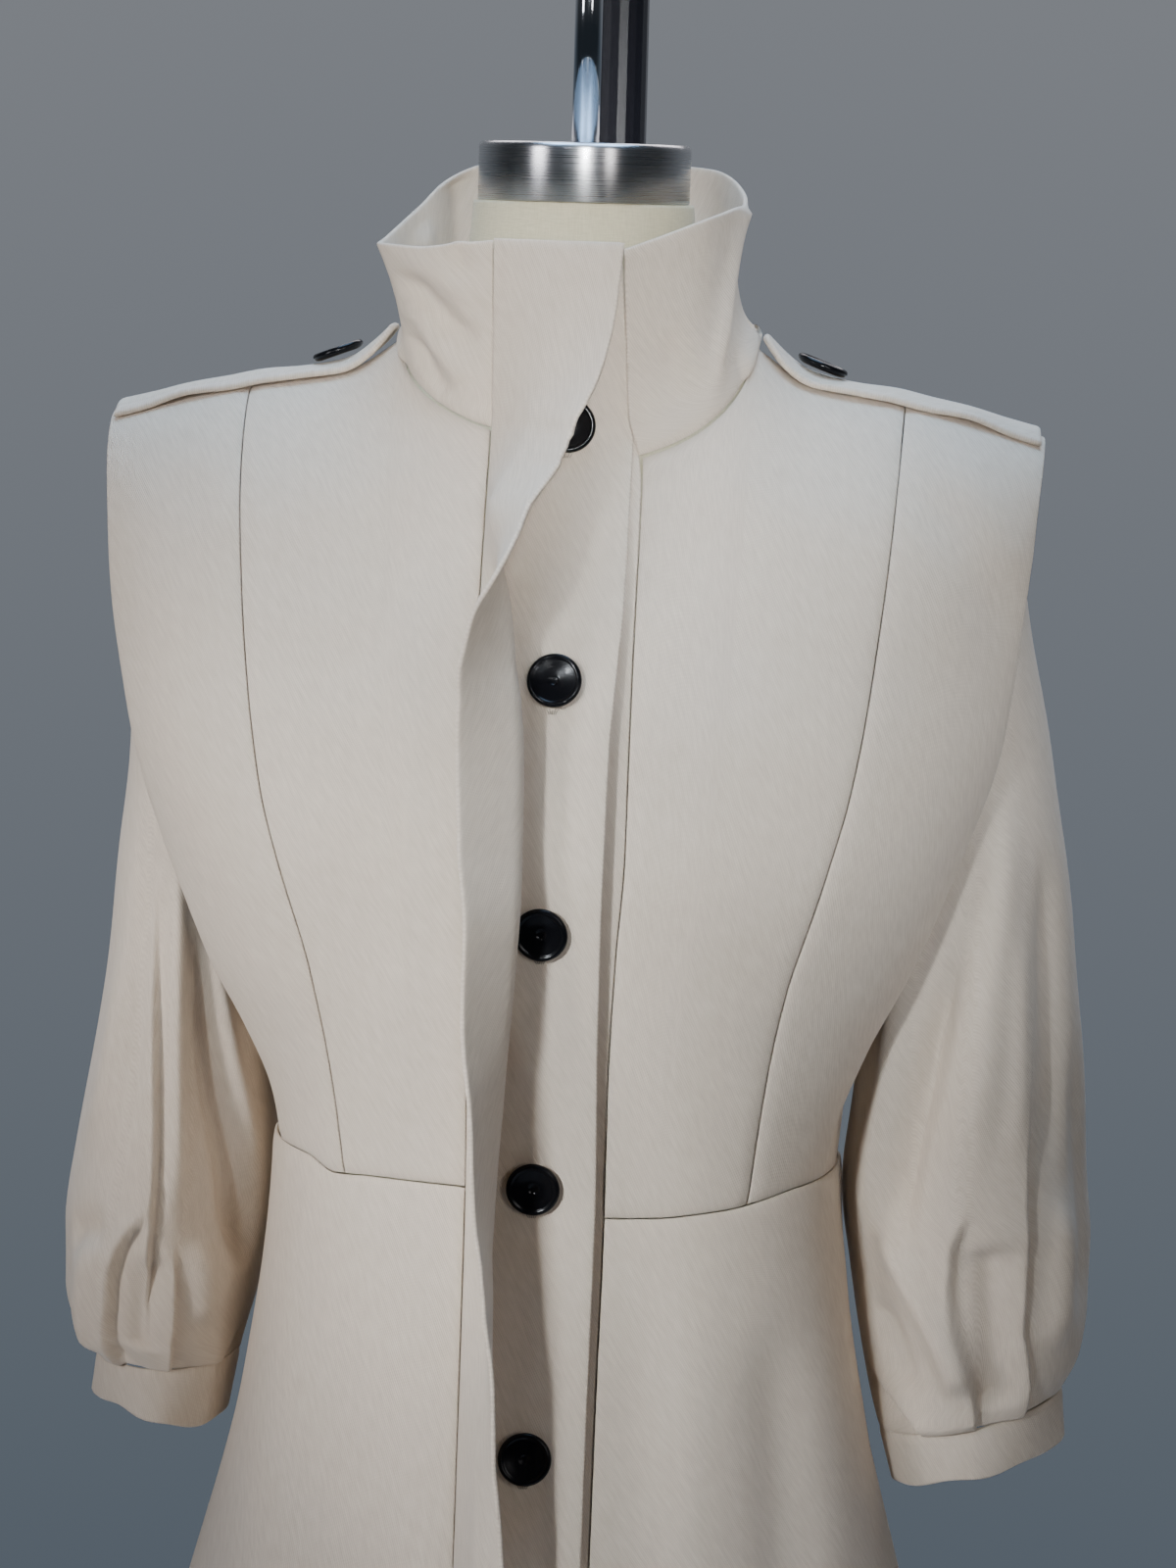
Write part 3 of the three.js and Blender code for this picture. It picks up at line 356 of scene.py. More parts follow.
def seam_sink(grid, seams):
    """Displacement that lets the cloth sink beside its seams."""
    total = np.zeros(grid.shape[:2])
    for axis, near, far in ((1, "left", "right"), (0, "bottom", "top")):
        run = arc(grid, axis)
        length = np.take(run, [-1], axis=axis)
        for name, away in ((near, run), (far, length - run)):
            if name in seams:
                total -= SEAM_SINK * np.exp(-(away / SEAM_SINK_WIDE) ** 2)
    return total


def link_object(name, data):
    thing = bpy.data.objects.new(name, data)
    bpy.context.scene.collection.objects.link(thing)
    return thing


def finish_mesh(mesh, material, smooth_shade=True):
    mesh.polygons.foreach_set("use_smooth", [smooth_shade] * len(mesh.polygons))
    mesh.materials.append(material)
    return link_object(mesh.name, mesh)


def cloth_mesh(name, verts, faces, uvs):
    """An object from four-sided faces, with a map along the cloth in metres."""
    mesh = bpy.data.meshes.new(name)
    mesh.vertices.add(len(verts))
    mesh.vertices.foreach_set("co", (verts * MM).astype(np.float32).ravel())
    corners = faces.astype(np.int32).ravel()
    mesh.loops.add(corners.size)
    mesh.loops.foreach_set("vertex_index", corners)
    mesh.polygons.add(len(faces))
    mesh.polygons.foreach_set("loop_start", np.arange(0, corners.size, 4, dtype=np.int32))
    mesh.update(calc_edges=True)
    layer = mesh.uv_layers.new(name="cloth")
    layer.data.foreach_set("uv", (uvs[corners] * MM).astype(np.float32).ravel())
    mesh.validate()
    return finish_mesh(mesh, TWILL)


def plain_mesh(name, verts, faces, material, smooth_shade=True):
    mesh = bpy.data.meshes.new(name)
    mesh.from_pydata([tuple(v * MM) for v in verts], [], faces)
    return finish_mesh(mesh, material, smooth_shade)


def shell(name, grid, thick=CLOTH, seams=(), loop=False, normals=None, turn_uv=False):
    """A closed sheet of cloth from its outer points, with rounded edges all round.

    grid is rows x columns x 3; outwards is (along the columns) x (up the rows).
    seams names the sides that are sewn, out of left, right, bottom and top."""
    normals = surface_normals(grid, loop) if normals is None else normals
    rows, columns = grid.shape[:2]
    across, upward = arc(grid, 1), arc(grid, 0)
    across = across - across[:, columns // 2][:, None]
    uv = np.stack([upward, across] if turn_uv else [across, upward], axis=-1).reshape(-1, 2)
    index = np.arange(rows * columns).reshape(rows, columns)
    verts = [grid.reshape(-1, 3), (grid - normals * thick).reshape(-1, 3)]
    uvs = [uv, uv]
    faces = []

    def quads(a, b, c, d):
        faces.append(np.stack([a.ravel(), b.ravel(), c.ravel(), d.ravel()], axis=1))

    wrapped = np.concatenate([index, index[:, :1]], axis=1) if loop else index
    low, high = wrapped[:-1], wrapped[1:]
    quads(low[:, :-1], low[:, 1:], high[:, 1:], high[:, :-1])
    shift = rows * columns
    quads(low[:, :-1] + shift, high[:, :-1] + shift, high[:, 1:] + shift, low[:, 1:] + shift)

    side_way = unit(np.gradient(grid, axis=1))
    up_way = unit(np.gradient(grid, axis=0))
    bulge = {edge: SEAM_ROUND if edge in seams else thick / 2
             for edge in ("left", "right", "bottom", "top")}
    outward = np.zeros_like(grid)
    if not loop:
        outward[:, 0] -= side_way[:, 0] * bulge["left"]
        outward[:, -1] += side_way[:, -1] * bulge["right"]
    outward[0] -= up_way[0] * bulge["bottom"]
    outward[-1] += up_way[-1] * bulge["top"]

    if loop:
        borders = [index[0], index[-1][::-1]]
    else:
        borders = [np.concatenate([index[0], index[1:, -1], index[-1, -2::-1], index[-2:0:-1, 0]])]
    count = 2 * rows * columns
    flat_normals = normals.reshape(-1, 3)
    flat_out = outward.reshape(-1, 3)
    flat_grid = grid.reshape(-1, 3)
    for border in borders:
        middle = flat_grid[border] - flat_normals[border] * thick / 2
        rings = [border]
        for step in range(1, RIM):
            angle = math.pi * step / RIM
            ring = middle + flat_normals[border] * math.cos(angle) * thick / 2
            verts.append(ring + flat_out[border] * math.sin(angle))
            uvs.append(uv[border])
            rings.append(np.arange(count, count + len(border)))
            count += len(border)
        rings.append(border + shift)
        for inner, outer in zip(rings, rings[1:]):
            quads(outer, np.roll(outer, -1), np.roll(inner, -1), inner)
    return cloth_mesh(name, np.concatenate(verts), np.concatenate(faces), np.concatenate(uvs))


def lathe(name, profile, material, steps, spin, place):
    """A turned solid: profile is (radius, height) pairs from axis to axis, in mm."""
    ring = 2 * np.pi * np.arange(steps) / steps
    verts, index = [], []
    for radius, height in profile:
        if radius == 0:
            index.append(np.full(steps, len(verts)))
            verts.append((0, 0, height))
        else:
            index.append(np.arange(len(verts), len(verts) + steps))
            verts += [(radius * math.cos(a), radius * math.sin(a), height) for a in ring]
    faces = []
    for low, high in zip(index, index[1:]):
        for k in range(steps):
            n = (k + 1) % steps
            faces.append([int(v) for v in dict.fromkeys([low[k], low[n], high[n], high[k]])])
    turn = spin or Matrix.Identity(3)
    return plain_mesh(name, [turn @ Vector(v) + Vector(place) for v in verts], faces, material)


def stand_for(piece, slot, *nodes):
    """Every new piece rides on the one body, and most stand for a CAD node."""
    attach(piece, "root")
    if nodes:
        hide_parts(*nodes)
    return piece


def cloth(name, grid, flat, held, rests_on, area=None, **form):
    """Twill that stands for the CAD node name; form is what shell() takes.

    flat is the estimated width and length of what shows, and area the estimated share
    of it that the cut covers; neither is used."""
    piece = stand_for(shell(name + "_cloth", grid, **form), "twill", name)


# ---- materials


class Nodes:
    """Short names for making a material's node tree."""

    def __init__(self, name):
        self.material = bpy.data.materials.new(name)
        self.material.use_nodes = True
        self.tree = self.material.node_tree
        self.shader = self.tree.nodes["Principled BSDF"]
        self.place = self.add("ShaderNodeTexCoord").outputs["Object"]

    def add(self, kind, **settings):
        node = self.tree.nodes.new(kind)
        for key, value in settings.items():
            setattr(node, key, value)
        return node

    def link(self, output, target):
        self.tree.links.new(output, target)

    def value(self, operation, a, b=None, c=None):
        node = self.add("ShaderNodeMath", operation=operation)
        for socket, item in zip(node.inputs, (a, b, c)):
            if item is None:
                continue
            if isinstance(item, (int, float)):
                socket.default_value = item
            else:
                self.link(item, socket)
        return node.outputs[0]

    def noise(self, coordinates, scale, detail=2.0, roughness=0.5):
        node = self.add("ShaderNodeTexNoise")
        self.link(coordinates, node.inputs["Vector"])
        node.inputs["Scale"].default_value = scale
        node.inputs["Detail"].default_value = detail
        node.inputs["Roughness"].default_value = roughness
        return node.outputs["Fac"]

    def stretch(self, coordinates, scale):
        node = self.add("ShaderNodeMapping")
        self.link(coordinates, node.inputs["Vector"])
        node.inputs["Scale"].default_value = scale
        return node.outputs["Vector"]

    def colour(self, factor, dark, light):
        node = self.add("ShaderNodeMix", data_type="RGBA")
        self.link(factor, node.inputs["Factor"])
        node.inputs["A"].default_value = (*dark, 1)
        node.inputs["B"].default_value = (*light, 1)
        self.link(node.outputs["Result"], self.shader.inputs["Base Color"])

    def rough(self, factor, gain, base):
        self.link(self.value("MULTIPLY_ADD", factor, gain, base), self.shader.inputs["Roughness"])

    def bump(self, height, strength, distance):
        node = self.add("ShaderNodeBump")
        self.link(height, node.inputs["Height"])
        node.inputs["Strength"].default_value = strength
        node.inputs["Distance"].default_value = distance
        self.link(node.outputs["Normal"], self.shader.inputs["Normal"])

    def set(self, **values):
        for key, value in values.items():
            self.shader.inputs[key.replace("_", " ")].default_value = value


TWILL_PITCH = 1.05       # mm from one twill line to the next
TWILL_SLOPE = 63         # degrees off the weft
YARN_PITCH = 0.7


def twill_material():
    """Fine cream twill: steep diagonal lines, a little sheen and a soft unevenness."""
    n = Nodes("cream_twill")
    uv = n.add("ShaderNodeUVMap", uv_map="cloth").outputs["UV"]
    split = n.add("ShaderNodeSeparateXYZ")
    n.link(uv, split.inputs[0])
    u, v = split.outputs["X"], split.outputs["Y"]
    turn = math.radians(TWILL_SLOPE)
    sine, cosine = math.sin(turn), math.cos(turn)
    across = n.value("ADD", n.value("MULTIPLY", u, sine), n.value("MULTIPLY", v, cosine))
    down = n.value("SUBTRACT", n.value("MULTIPLY", v, sine), n.value("MULTIPLY", u, cosine))
    line = n.value("SINE", n.value("MULTIPLY", across, 2 * math.pi / (TWILL_PITCH * MM)))
    yarn = n.value("SINE", n.value("MULTIPLY", v, 2 * math.pi / (YARN_PITCH * MM)))
    weave = n.value("MULTIPLY_ADD", yarn, 0.3, line)
    turned = n.add("ShaderNodeCombineXYZ")
    n.link(across, turned.inputs["X"])
    n.link(down, turned.inputs["Y"])
    slub = n.noise(n.stretch(turned.outputs[0], (620, 90, 1)), 1.0, 2.0)
    cloudy = n.noise(n.place, 9.0, 3.0)
    uneven = n.value("MULTIPLY_ADD", cloudy, 0.3, n.value("MULTIPLY", slub, 0.7))
    tone = n.value("MULTIPLY_ADD", weave, 0.11, uneven)
    n.colour(tone, (0.52, 0.425, 0.325), (0.80, 0.70, 0.575))
    n.rough(weave, -0.05, 0.7)
    n.set(Specular_IOR_Level=0.28, Sheen_Weight=0.2, Sheen_Roughness=0.45)
    n.shader.inputs["Sheen Tint"].default_value = (1.0, 0.97, 0.93, 1)
    n.bump(n.value("MULTIPLY_ADD", slub, 1.2, weave), 0.4, 0.00015)
    return n.material


def linen_material():
    n = Nodes("form_linen")
    warp = n.noise(n.stretch(n.place, (1500, 1500, 160)), 1.0, 2.0)
    weft = n.noise(n.stretch(n.place, (160, 160, 1700)), 1.0, 2.0)
    weave = n.value("ADD", warp, weft)
    n.colour(n.value("MULTIPLY", weave, 0.5), (0.47, 0.42, 0.26), (0.80, 0.73, 0.52))
    n.set(Roughness=0.85, Specular_IOR_Level=0.2, Sheen_Weight=0.15)
    n.bump(weave, 0.5, 0.0003)
    return n.material


def brushed_material():
    """Turned steel: fine lines round the cap, brighter and darker by turns."""
    n = Nodes("brushed_cap")
    lines = n.noise(n.stretch(n.place, (6, 6, 2600)), 1.0, 3.0, 0.7)
    n.colour(lines, (0.42, 0.42, 0.43), (0.72, 0.72, 0.73))
    n.rough(lines, 0.16, 0.2)
    n.set(Metallic=1.0, Anisotropic=0.85, Anisotropic_Rotation=0.25)
    around = n.add("ShaderNodeTangent", direction_type="RADIAL", axis="Z")
    n.link(around.outputs["Tangent"], n.shader.inputs["Tangent"])
    n.bump(lines, 0.12, 0.0001)
    return n.material


def chrome_material():
    n = Nodes("rod_chrome")
    haze = n.noise(n.stretch(n.place, (300, 300, 30)), 1.0, 2.0)
    n.rough(haze, 0.08, 0.05)
    n.shader.inputs["Base Color"].default_value = (0.62, 0.64, 0.67, 1)
    n.set(Metallic=1.0)
    return n.material


def enamel_material():
    n = Nodes("stand_enamel")
    peel = n.noise(n.place, 420.0, 2.0)
    n.colour(peel, (0.009, 0.009, 0.013), (0.018, 0.018, 0.024))
    n.rough(peel, 0.1, 0.18)
    n.set(Coat_Weight=0.5, Coat_Roughness=0.08)
    n.bump(peel, 0.06, 0.0002)
    return n.material


def button_material():
    n = Nodes("button_black")
    scuff = n.noise(n.place, 900.0, 3.0)
    n.colour(scuff, (0.002, 0.002, 0.003), (0.006, 0.006, 0.007))
    n.rough(scuff, 0.06, 0.17)
    n.set(Specular_IOR_Level=0.2)
    return n.material


def thread_material():
    n = Nodes("sewing_thread")
    ply = n.noise(n.place, 2500.0, 2.0)
    n.colour(ply, (0.20, 0.17, 0.13), (0.42, 0.36, 0.28))
    n.set(Roughness=0.8)
    n.bump(ply, 0.4, 0.0002)
    return n.material


def floor_material():
    n = Nodes("pale_floor")
    n.colour(n.noise(n.place, 3.0), (0.55, 0.55, 0.56), (0.60, 0.60, 0.61))
    n.set(Roughness=0.7)
    return n.material


TWILL = twill_material()
LINEN = linen_material()
STEEL = brushed_material()
CHROME = chrome_material()
ENAMEL = enamel_material()
BLACK = button_material()
THREAD = thread_material()

# ---- bodice

BODICE_ROWS = 110
ROW_SPREAD = 1.45
CELL = 2.6               # mm, wanted width of a cell across a panel
FOLD_FREE = 14           # folds fade out over this last stretch to the plane y = 0

# Folds of the front and the back, on a map of x and z.
FRONT_FOLDS = folds(
    (-70, 1400, -96, 1290, -1.6, 15, 6), (-110, 1425, -100, 1300, 1.2, 20),
    (72, 1405, 92, 1300, -1.2, 16, -6), (165, 1405, 214, 1310, -2.6, 13, 8),
    (182, 1418, 222, 1350, 1.8, 12), (-176, 1400, -206, 1340, -1.4, 12),
    (-205, 1400, -196, 1290, 1.1, 14), (-60, 1180, -84, 1075, 0.9, 14),
    (60, 1150, 92, 1080, -0.9, 12))
BACK_FOLDS = folds(
    (-20, 1440, -60, 1330, -1.8, 16, 5), (40, 1430, 72, 1310, -1.4, 18, -6),
    (10, 1180, 60, 1080, -1.6, 13, 7), (-14, 1160, -66, 1072, -1.3, 15, -8),
    (180, 1400, 215, 1310, -2.0, 13, 6), (-170, 1395, -210, 1300, -1.8, 15, -6))


def bodice_grid(tops, seam_a, seam_b, side, trims):
    """Points of a panel between two seams; tops are the two ends of its top edge."""
    columns = max(12, int(abs(tops[1] - tops[0]) / CELL)) + 1
    share = across_columns(0, 1, columns)
    v = down_rows(0, 1, BODICE_ROWS)
    top_x = mix(tops[0], tops[1], share)
    top_z = top_edge(top_x, side)
    fall = (1 - v) ** ROW_SPREAD
    first = seam_a(mix(top_edge(np.array(float(tops[0])), side), WAIST, fall))
    last = seam_b(mix(top_edge(np.array(float(tops[1])), side), WAIST, fall))
    inward = math.copysign(1, tops[1] - tops[0])
    x = mix(first + trims[0] * inward, last - trims[1] * inward, share)
    z = mix(top_z, WAIST + SEAM_TRIM, fall)
    z = np.minimum(z, top_edge(x, side))
    grid = coat_point(x, z, side)
    grid[..., 1] = side * np.maximum(np.abs(grid[..., 1]), SEAM_TRIM)
    grid[..., 2] = settled(grid[..., 0], grid[..., 2])
    return grid


def folded_panel(tops, seam_a, seam_b, side, seams):
    trims = [SEAM_TRIM if key in seams else 0 for key in ("left", "right")]
    grid = bodice_grid(tops, seam_a, seam_b, side, trims)
    normals = surface_normals(grid)
    on_top = np.abs(grid[-1, :, 1]) < RIDGE_FLAT
    normals[-1, on_top, 1] = 0
    normals = unit(normals)
    lift = crease(grid[..., [0, 2]], FRONT_FOLDS if side < 0 else BACK_FOLDS)
    lift = lift + unevenness(grid, seed=side) + seam_sink(grid, seams)
    lift = lift * smooth(np.abs(grid[..., 1]), 0, FOLD_FREE)
    return grid + normals * lift[..., None]


def princess(sign):
    return lambda z: sign * along(PRINCESS, "z", "x", z)


def flange_edge(sign):
    return lambda z: sign * along(FLANGE_EDGE, "z", "x", z)


def left_edge(z):
    return along(LEFT_FRONT_EDGE, "z", "x", z)


def hinge(z):
    return np.full_like(np.asarray(z, float), HINGE)


def make_bodice():
    all_round = ("left", "right", "bottom", "top")
    right_free = ("left", "bottom", "top")
    left_free = ("right", "bottom", "top")
    princess_top = PRINCESS["x"][-1]
    edge_top = FLANGE_EDGE["x"][-1]
    panels = [
        ("front_centre_right", (-princess_top, HINGE), princess(-1), hinge, -1, all_round),
        ("front_centre_left", (35, princess_top), left_edge, princess(1), -1, all_round),
        ("front_side_right", (-edge_top, -princess_top), flange_edge(-1), princess(-1), -1, left_free),
        ("front_side_left", (princess_top, edge_top), princess(1), flange_edge(1), -1, right_free),
        ("back_centre", (princess_top, -princess_top), princess(1), princess(-1), 1, all_round),
        ("back_side_right", (-princess_top, -edge_top), princess(-1), flange_edge(-1), 1, right_free),
        ("back_side_left", (edge_top, princess_top), flange_edge(1), princess(1), 1, left_free),
    ]
    cuts = dict(back_centre=((330, 460), 0.78), front_centre=((155, 455), 0.75),
                front_side=((115, 440), 0.72), back_side=((115, 440), 0.72))
    for name, tops, seam_a, seam_b, side, seams in panels:
        flat, area = next(cut for start, cut in cuts.items() if name.startswith(start))
        grid = folded_panel(tops, seam_a, seam_b, side, seams)
        cloth(name, grid, flat, "hung", "form_torso", area, seams=seams)


def side_border(share):
    """Outer border of the side panel: down the front, round the waist, up the back."""
    down = 0.38              # share of the border that runs down the front, and up the back
    low, high = WAIST + 0.2, ATTACH["z"][-1]
    side = np.where(share < 0.5, -1, 1)
    start = np.minimum(share, 1 - share)
    inset = 4.4              # the panel's border lies this far inside the coat
    z = mix(high, low, np.clip(start / down, 0, 1))
    x = along(ATTACH, "z", "x", z)
    reach = np.where(side < 0, depth_at(x, z, -1), depth_at(x, z, 1)) - inset
    upright = points(x, side * reach, z)
    wide = along(SECTIONS, "z", "front_wide", WAIST) - 2.4
    corner = ATTACH["x"][0]
    flat_reach = np.where(side < 0, depth_at(corner, low, -1), depth_at(corner, low, 1)) - inset
    deep = flat_reach / oval(corner / wide, CURVE)
    first = math.asin((corner / wide) ** (CURVE / 2))
    angle = mix(first, math.pi / 2, np.clip((start - down) / (0.5 - down), 0, 1))
    round_x = wide * np.sin(angle) ** (2 / CURVE)
    waist = points(round_x, side * deep * np.maximum(0, np.cos(angle)) ** (2 / CURVE), low)
    return np.where((start < down)[..., None], upright, waist)


def depth_at(x, z, side):
    return np.abs(coat_point(x, z, side, 0.0)[..., 1])


def make_side_panels():
    share = np.linspace(0, 1, 121)
    open_top = 36            # degrees each side of the top that the armhole leaves open
    angle = np.radians(open_top + (360 - 2 * open_top) * share)
    ring = points(ARMHOLE["x"], -ARMHOLE["deep"] * np.sin(angle),
                  ARMHOLE["z"] + ARMHOLE["high"] * np.cos(angle))
    border = side_border(share)
    steps = np.linspace(0, 1, 36)[:, None, None]
    plain = border[None] * (1 - steps) + ring[None] * steps
    upright = smooth(plain[..., 2], 1240, 1275)[..., None]
    normals = unit(mix(surface_normals(plain), np.array([1.0, 0, 0]), upright))
    for name, sign in (("left", 1), ("right", -1)):
        grid = plain.copy()
        grid[..., 2] = settled(sign * grid[..., 0], grid[..., 2])
        placed, facing = (grid, normals) if sign > 0 else (mirrored(grid), mirrored(normals))
        cloth(f"side_panel_{name}", placed, (190, 300), "hung", f"front_side_{name}", 0.75,
              normals=facing)


# ---- skirt

SKIRT_FOLDS_FRONT = folds(
    (-118, 1015, -150, 720, 3.0, 17, -6, 0.3, 0.4), (-78, 1000, -92, 660, -4.5, 24, 0, 0.6),
    (-52, 900, -56, 700, 1.8, 10), (70, 1030, 84, 720, 3.0, 20, 0, 0.3, 0.5),
    (128, 1020, 176, 700, 2.0, 12, 0, 0.3, 0.4), (112, 1000, 144, 650, -4.2, 14, 0, 0.15, 0.5))
SKIRT_FOLDS_BACK = folds(
    (-60, 1020, -92, 620, 2.8, 22, 0, 0.3, 0.5), (4, 1010, 10, 600, -2.6, 26, 0, 0.3, 0.5),
    (72, 1020, 110, 640, 2.4, 24, 0, 0.3, 0.5), (-130, 990, -170, 650, -2.2, 20, 0, 0.3, 0.4),
    (126, 980, 166, 660, -1.8, 22, 0, 0.3, 0.4))
HEM_WAVES = [(5, 2.6, 0.4), (8, 1.8, 1.9), (13, 0.8, 3.3)]    # per turn, mm, phase
SKIRT_ROWS = 130


def skirt_grid(start_at, end_at, side, seams):
    z = down_rows(HEM, WAIST - SEAM_TRIM, SKIRT_ROWS)
    wide = along(SECTIONS, "z", "front_wide", z)

    def angle_at(x):
        return np.sign(x) * np.arcsin(np.minimum(1, np.abs(x) / wide) ** (CURVE / 2))

    first, last = start_at(z), end_at(z)
    way = np.sign(last - first)
    trimmed_first = np.where(np.abs(first) < wide - 1, first + way * SEAM_TRIM, first)
    trimmed_last = np.where(np.abs(last) < wide - 1, last - way * SEAM_TRIM, last)
    share = across_columns(0, 1, 80 if side < 0 else 130)
    angle = mix(angle_at(trimmed_first), angle_at(trimmed_last), share)
    x = wide * np.sign(angle) * np.abs(np.sin(angle)) ** (2 / CURVE)
    grid = coat_point(x, z, side)
    grid[..., 1] = side * np.maximum(np.abs(grid[..., 1]), SEAM_TRIM)
    grid[..., 2] = settled(grid[..., 0], grid[..., 2])
    normals = surface_normals(grid)
    seam_side = np.abs(grid[..., 1]) < RIDGE_FLAT
    normals[seam_side] = unit(normals[seam_side] * np.array([1, 0, 1]))
    around = np.arctan2(grid[..., 0], -grid[..., 1])
    low = smooth(WAIST - 60 - grid[..., 2], 0, 380)
    waves = sum(high * np.sin(turns * around + phase) for turns, high, phase in HEM_WAVES)
    lift = crease(grid[..., [0, 2]], SKIRT_FOLDS_FRONT if side < 0 else SKIRT_FOLDS_BACK)
    lift = lift + waves * low + unevenness(grid, 1.3 * side)
    lift = lift * smooth(np.abs(grid[..., 0] - 4), 30, 52) if side < 0 else lift
    lift = lift + seam_sink(grid, seams)
    return grid + normals * lift[..., None]


def make_skirt():
    def side_seam(sign):
        return lambda z: sign * along(SECTIONS, "z", "front_wide", z)

    seams = ("left", "right", "top")
    panels = [
        ("skirt_front_right", side_seam(-1), hinge, -1, (310, 480), 0.70),
        ("skirt_front_left", left_edge, side_seam(1), -1, (320, 480), 0.70),
        ("skirt_back", side_seam(1), side_seam(-1), 1, (600, 485), 0.72),
    ]
    for name, start_at, end_at, side, flat, area in panels:
        grid = skirt_grid(start_at, end_at, side, seams)
        cloth(name, grid, flat, "hung", "form_torso", area, seams=seams)


# ---- collar

COLLAR_FOLDS = folds(         # on a map of degrees round the neck and height share x 100
    (68, 84, 29, 40, -5.2, 7, 3), (66, 97, 30, 64, 2.6, 8), (65, 57, 33, 16, 3.4, 7.5, 0, 0.15),
    (68, 36, 44, 3, -3.6, 6.5, -2), (40, 100, 38, 82, -2.2, 3, 0, 0.05),
    (272, 100, 309, 0, 4.2, 6, -3, 0.05, 0.4), (322, 60, 318, 5, -2.2, 7),
    (256, 3, 288, 3, 4.6, 11, 0, 0.2, 0.2), (72, 3, 104, 3, 3.4, 10, 0, 0.2, 0.2),
    (135, 100, 132, 10, 3.4, 6, 0, 0.05), (108, 90, 112, 20, -2.6, 10), (158, 80, 168, 20, -2.2, 9),
    (205, 75, 240, 25, -2.4, 11))


def make_collar():
    turn = np.linspace(COLLAR["turn"][0], COLLAR["turn"][-1], 300)[::-1][None, :]
    high = down_rows(0, 1, 44)
    base = neck_seam(turn) + np.array([0, 0, 0.8])
    top = points(*(along(COLLAR, "turn", name, turn) for name in "xyz"))
    grid = base * (1 - high[..., None]) + top * high[..., None]
    drawn = along(COLLAR, "turn", "drawn", turn) * 4 * high * (1 - high)
    inward = unit(points(-grid[..., 0], -grid[..., 1] - 6, 0 * grid[..., 2]))
    grid = grid + inward * drawn[..., None]
    cut_back = 4.2 * smooth(turn, 306, 336) * smooth(high, 0, 0.2) * (1 - high)
    grid[..., 0] -= cut_back
    seams = ("right", "bottom")
    normals = surface_normals(grid)
    where = points(turn, high * 100)
    lift = crease(where, COLLAR_FOLDS) + unevenness(grid, 2.2) * 0.6 + seam_sink(grid, seams)
    grid = grid + normals * lift[..., None]
    cloth("collar", grid, (500, 92), "stretched", "form_torso", 0.9, thick=FOLDED, seams=seams)


# ---- front closure

BEND_REACH = 7           # mm over which the flap turns at its bend
STRIP_START = -34.5      # the button strip's edge under the flap
PLACKET_START = -28


def make_flap():
    z = np.linspace(HEM, COLLAR_TOP, 340)
    length = np.linspace(0, FLAP_WIDTH, 44)
    row = {name: along(FLAP, "z", name, z)[:, None] for name in ("first", "second", "bend")}
    start = closure_point(HINGE + 0.4, z, LAYER)
    ahead = closure_point(HINGE + 10, z, LAYER) - start
    lie = np.arctan2(ahead[:, 1], ahead[:, 0])[:, None]
    middle = (length[1:] + length[:-1])[None, :] / 2
    turned = smooth(middle - row["bend"], -BEND_REACH, BEND_REACH)
    angle = lie - np.radians(mix(row["first"], row["second"], turned))
    step = np.diff(length)[None, :]
    x = np.concatenate([np.zeros((len(z), 1)), np.cumsum(step * np.cos(angle), axis=1)], axis=1)
    y = np.concatenate([np.zeros((len(z), 1)), np.cumsum(step * np.sin(angle), axis=1)], axis=1)
    grid = points(start[:, :1] + x, start[:, 1:2] + y, z[:, None])
    front = ["front_centre_right", "skirt_front_right"]
    cloth("fly_flap", grid, (64, 935), "hung", front, thick=FOLDED, seams=("left",))


def ribbon(level, start, end, columns, raised):
    """A long strip of the closure from x = start to end(z), raised(share, z) off its level."""
    z = down_rows(HEM, COLLAR_TOP, 280)
    share = across_columns(0, 1, columns)
    grid = closure_point(mix(start, end(z), share), z, level)
    grid[..., 1] -= raised(share, z)
    return grid


STRIP_FOLDS = folds(         # on a map of x and z
    (-22, 1180, -6, 1100, 2.2, 7), (-24, 1140, -12, 1010, -2.4, 9, -4), (2, 1040, 0, 900, 1.4, 8),
    (14, 900, 16, 760, -1.4, 8), (-20, 880, -22, 660, -1.6, 9), (-20, 1370, -10, 1240, -1.2, 9),
    (12, 1250, 8, 1090, 1.0, 8))
STRIP_RAISED = table("z rise", [
    (585, 3.4), (760, 4.2), (905, 4.6), (1016, 4.4), (1064, 3.6), (1118, 2.6), (1192, 2.6),
    (1260, 2.8), (1330, 2.0), (1400, 1.0), (1440, 0.2), (1508, 0)])


def strip_edge(z):
    return along(STRIP_EDGE, "z", "x", z)


def placket_edge(z):
    """Just inside the left front's edge, and further in above its neck."""
    return left_edge(z) - 1.0 - 1.4 * smooth(z, NECK_FRONT_LEFT - 12, NECK_FRONT_LEFT + 10)


def sunk_placket(share, z):
    return -3.2 * smooth(share, 0.5, 0.85) * (1 - smooth(z, 1340, 1400))


def raised_strip(share, z):
    rise = along(STRIP_RAISED, "z", "rise", z)
    x = mix(STRIP_START, strip_edge(z), share)
    where = points(x, z)
    below = 1 - smooth(z, 1380, 1410)
    return rise * smooth(share, 0.62, 1.0) + np.maximum(-0.3, crease(where, STRIP_FOLDS) * below)


def make_strips():
    strip = ribbon(0.0, STRIP_START, strip_edge, 40, raised_strip)
    cloth("button_strip", strip, (66, 935), "hung", "left_placket", 0.92)
    placket = ribbon(-LAYER, PLACKET_START, placket_edge, 30, sunk_placket)
    cloth("left_placket", placket, (63, 935), "hung", "form_torso", 0.92)


# ---- sleeves

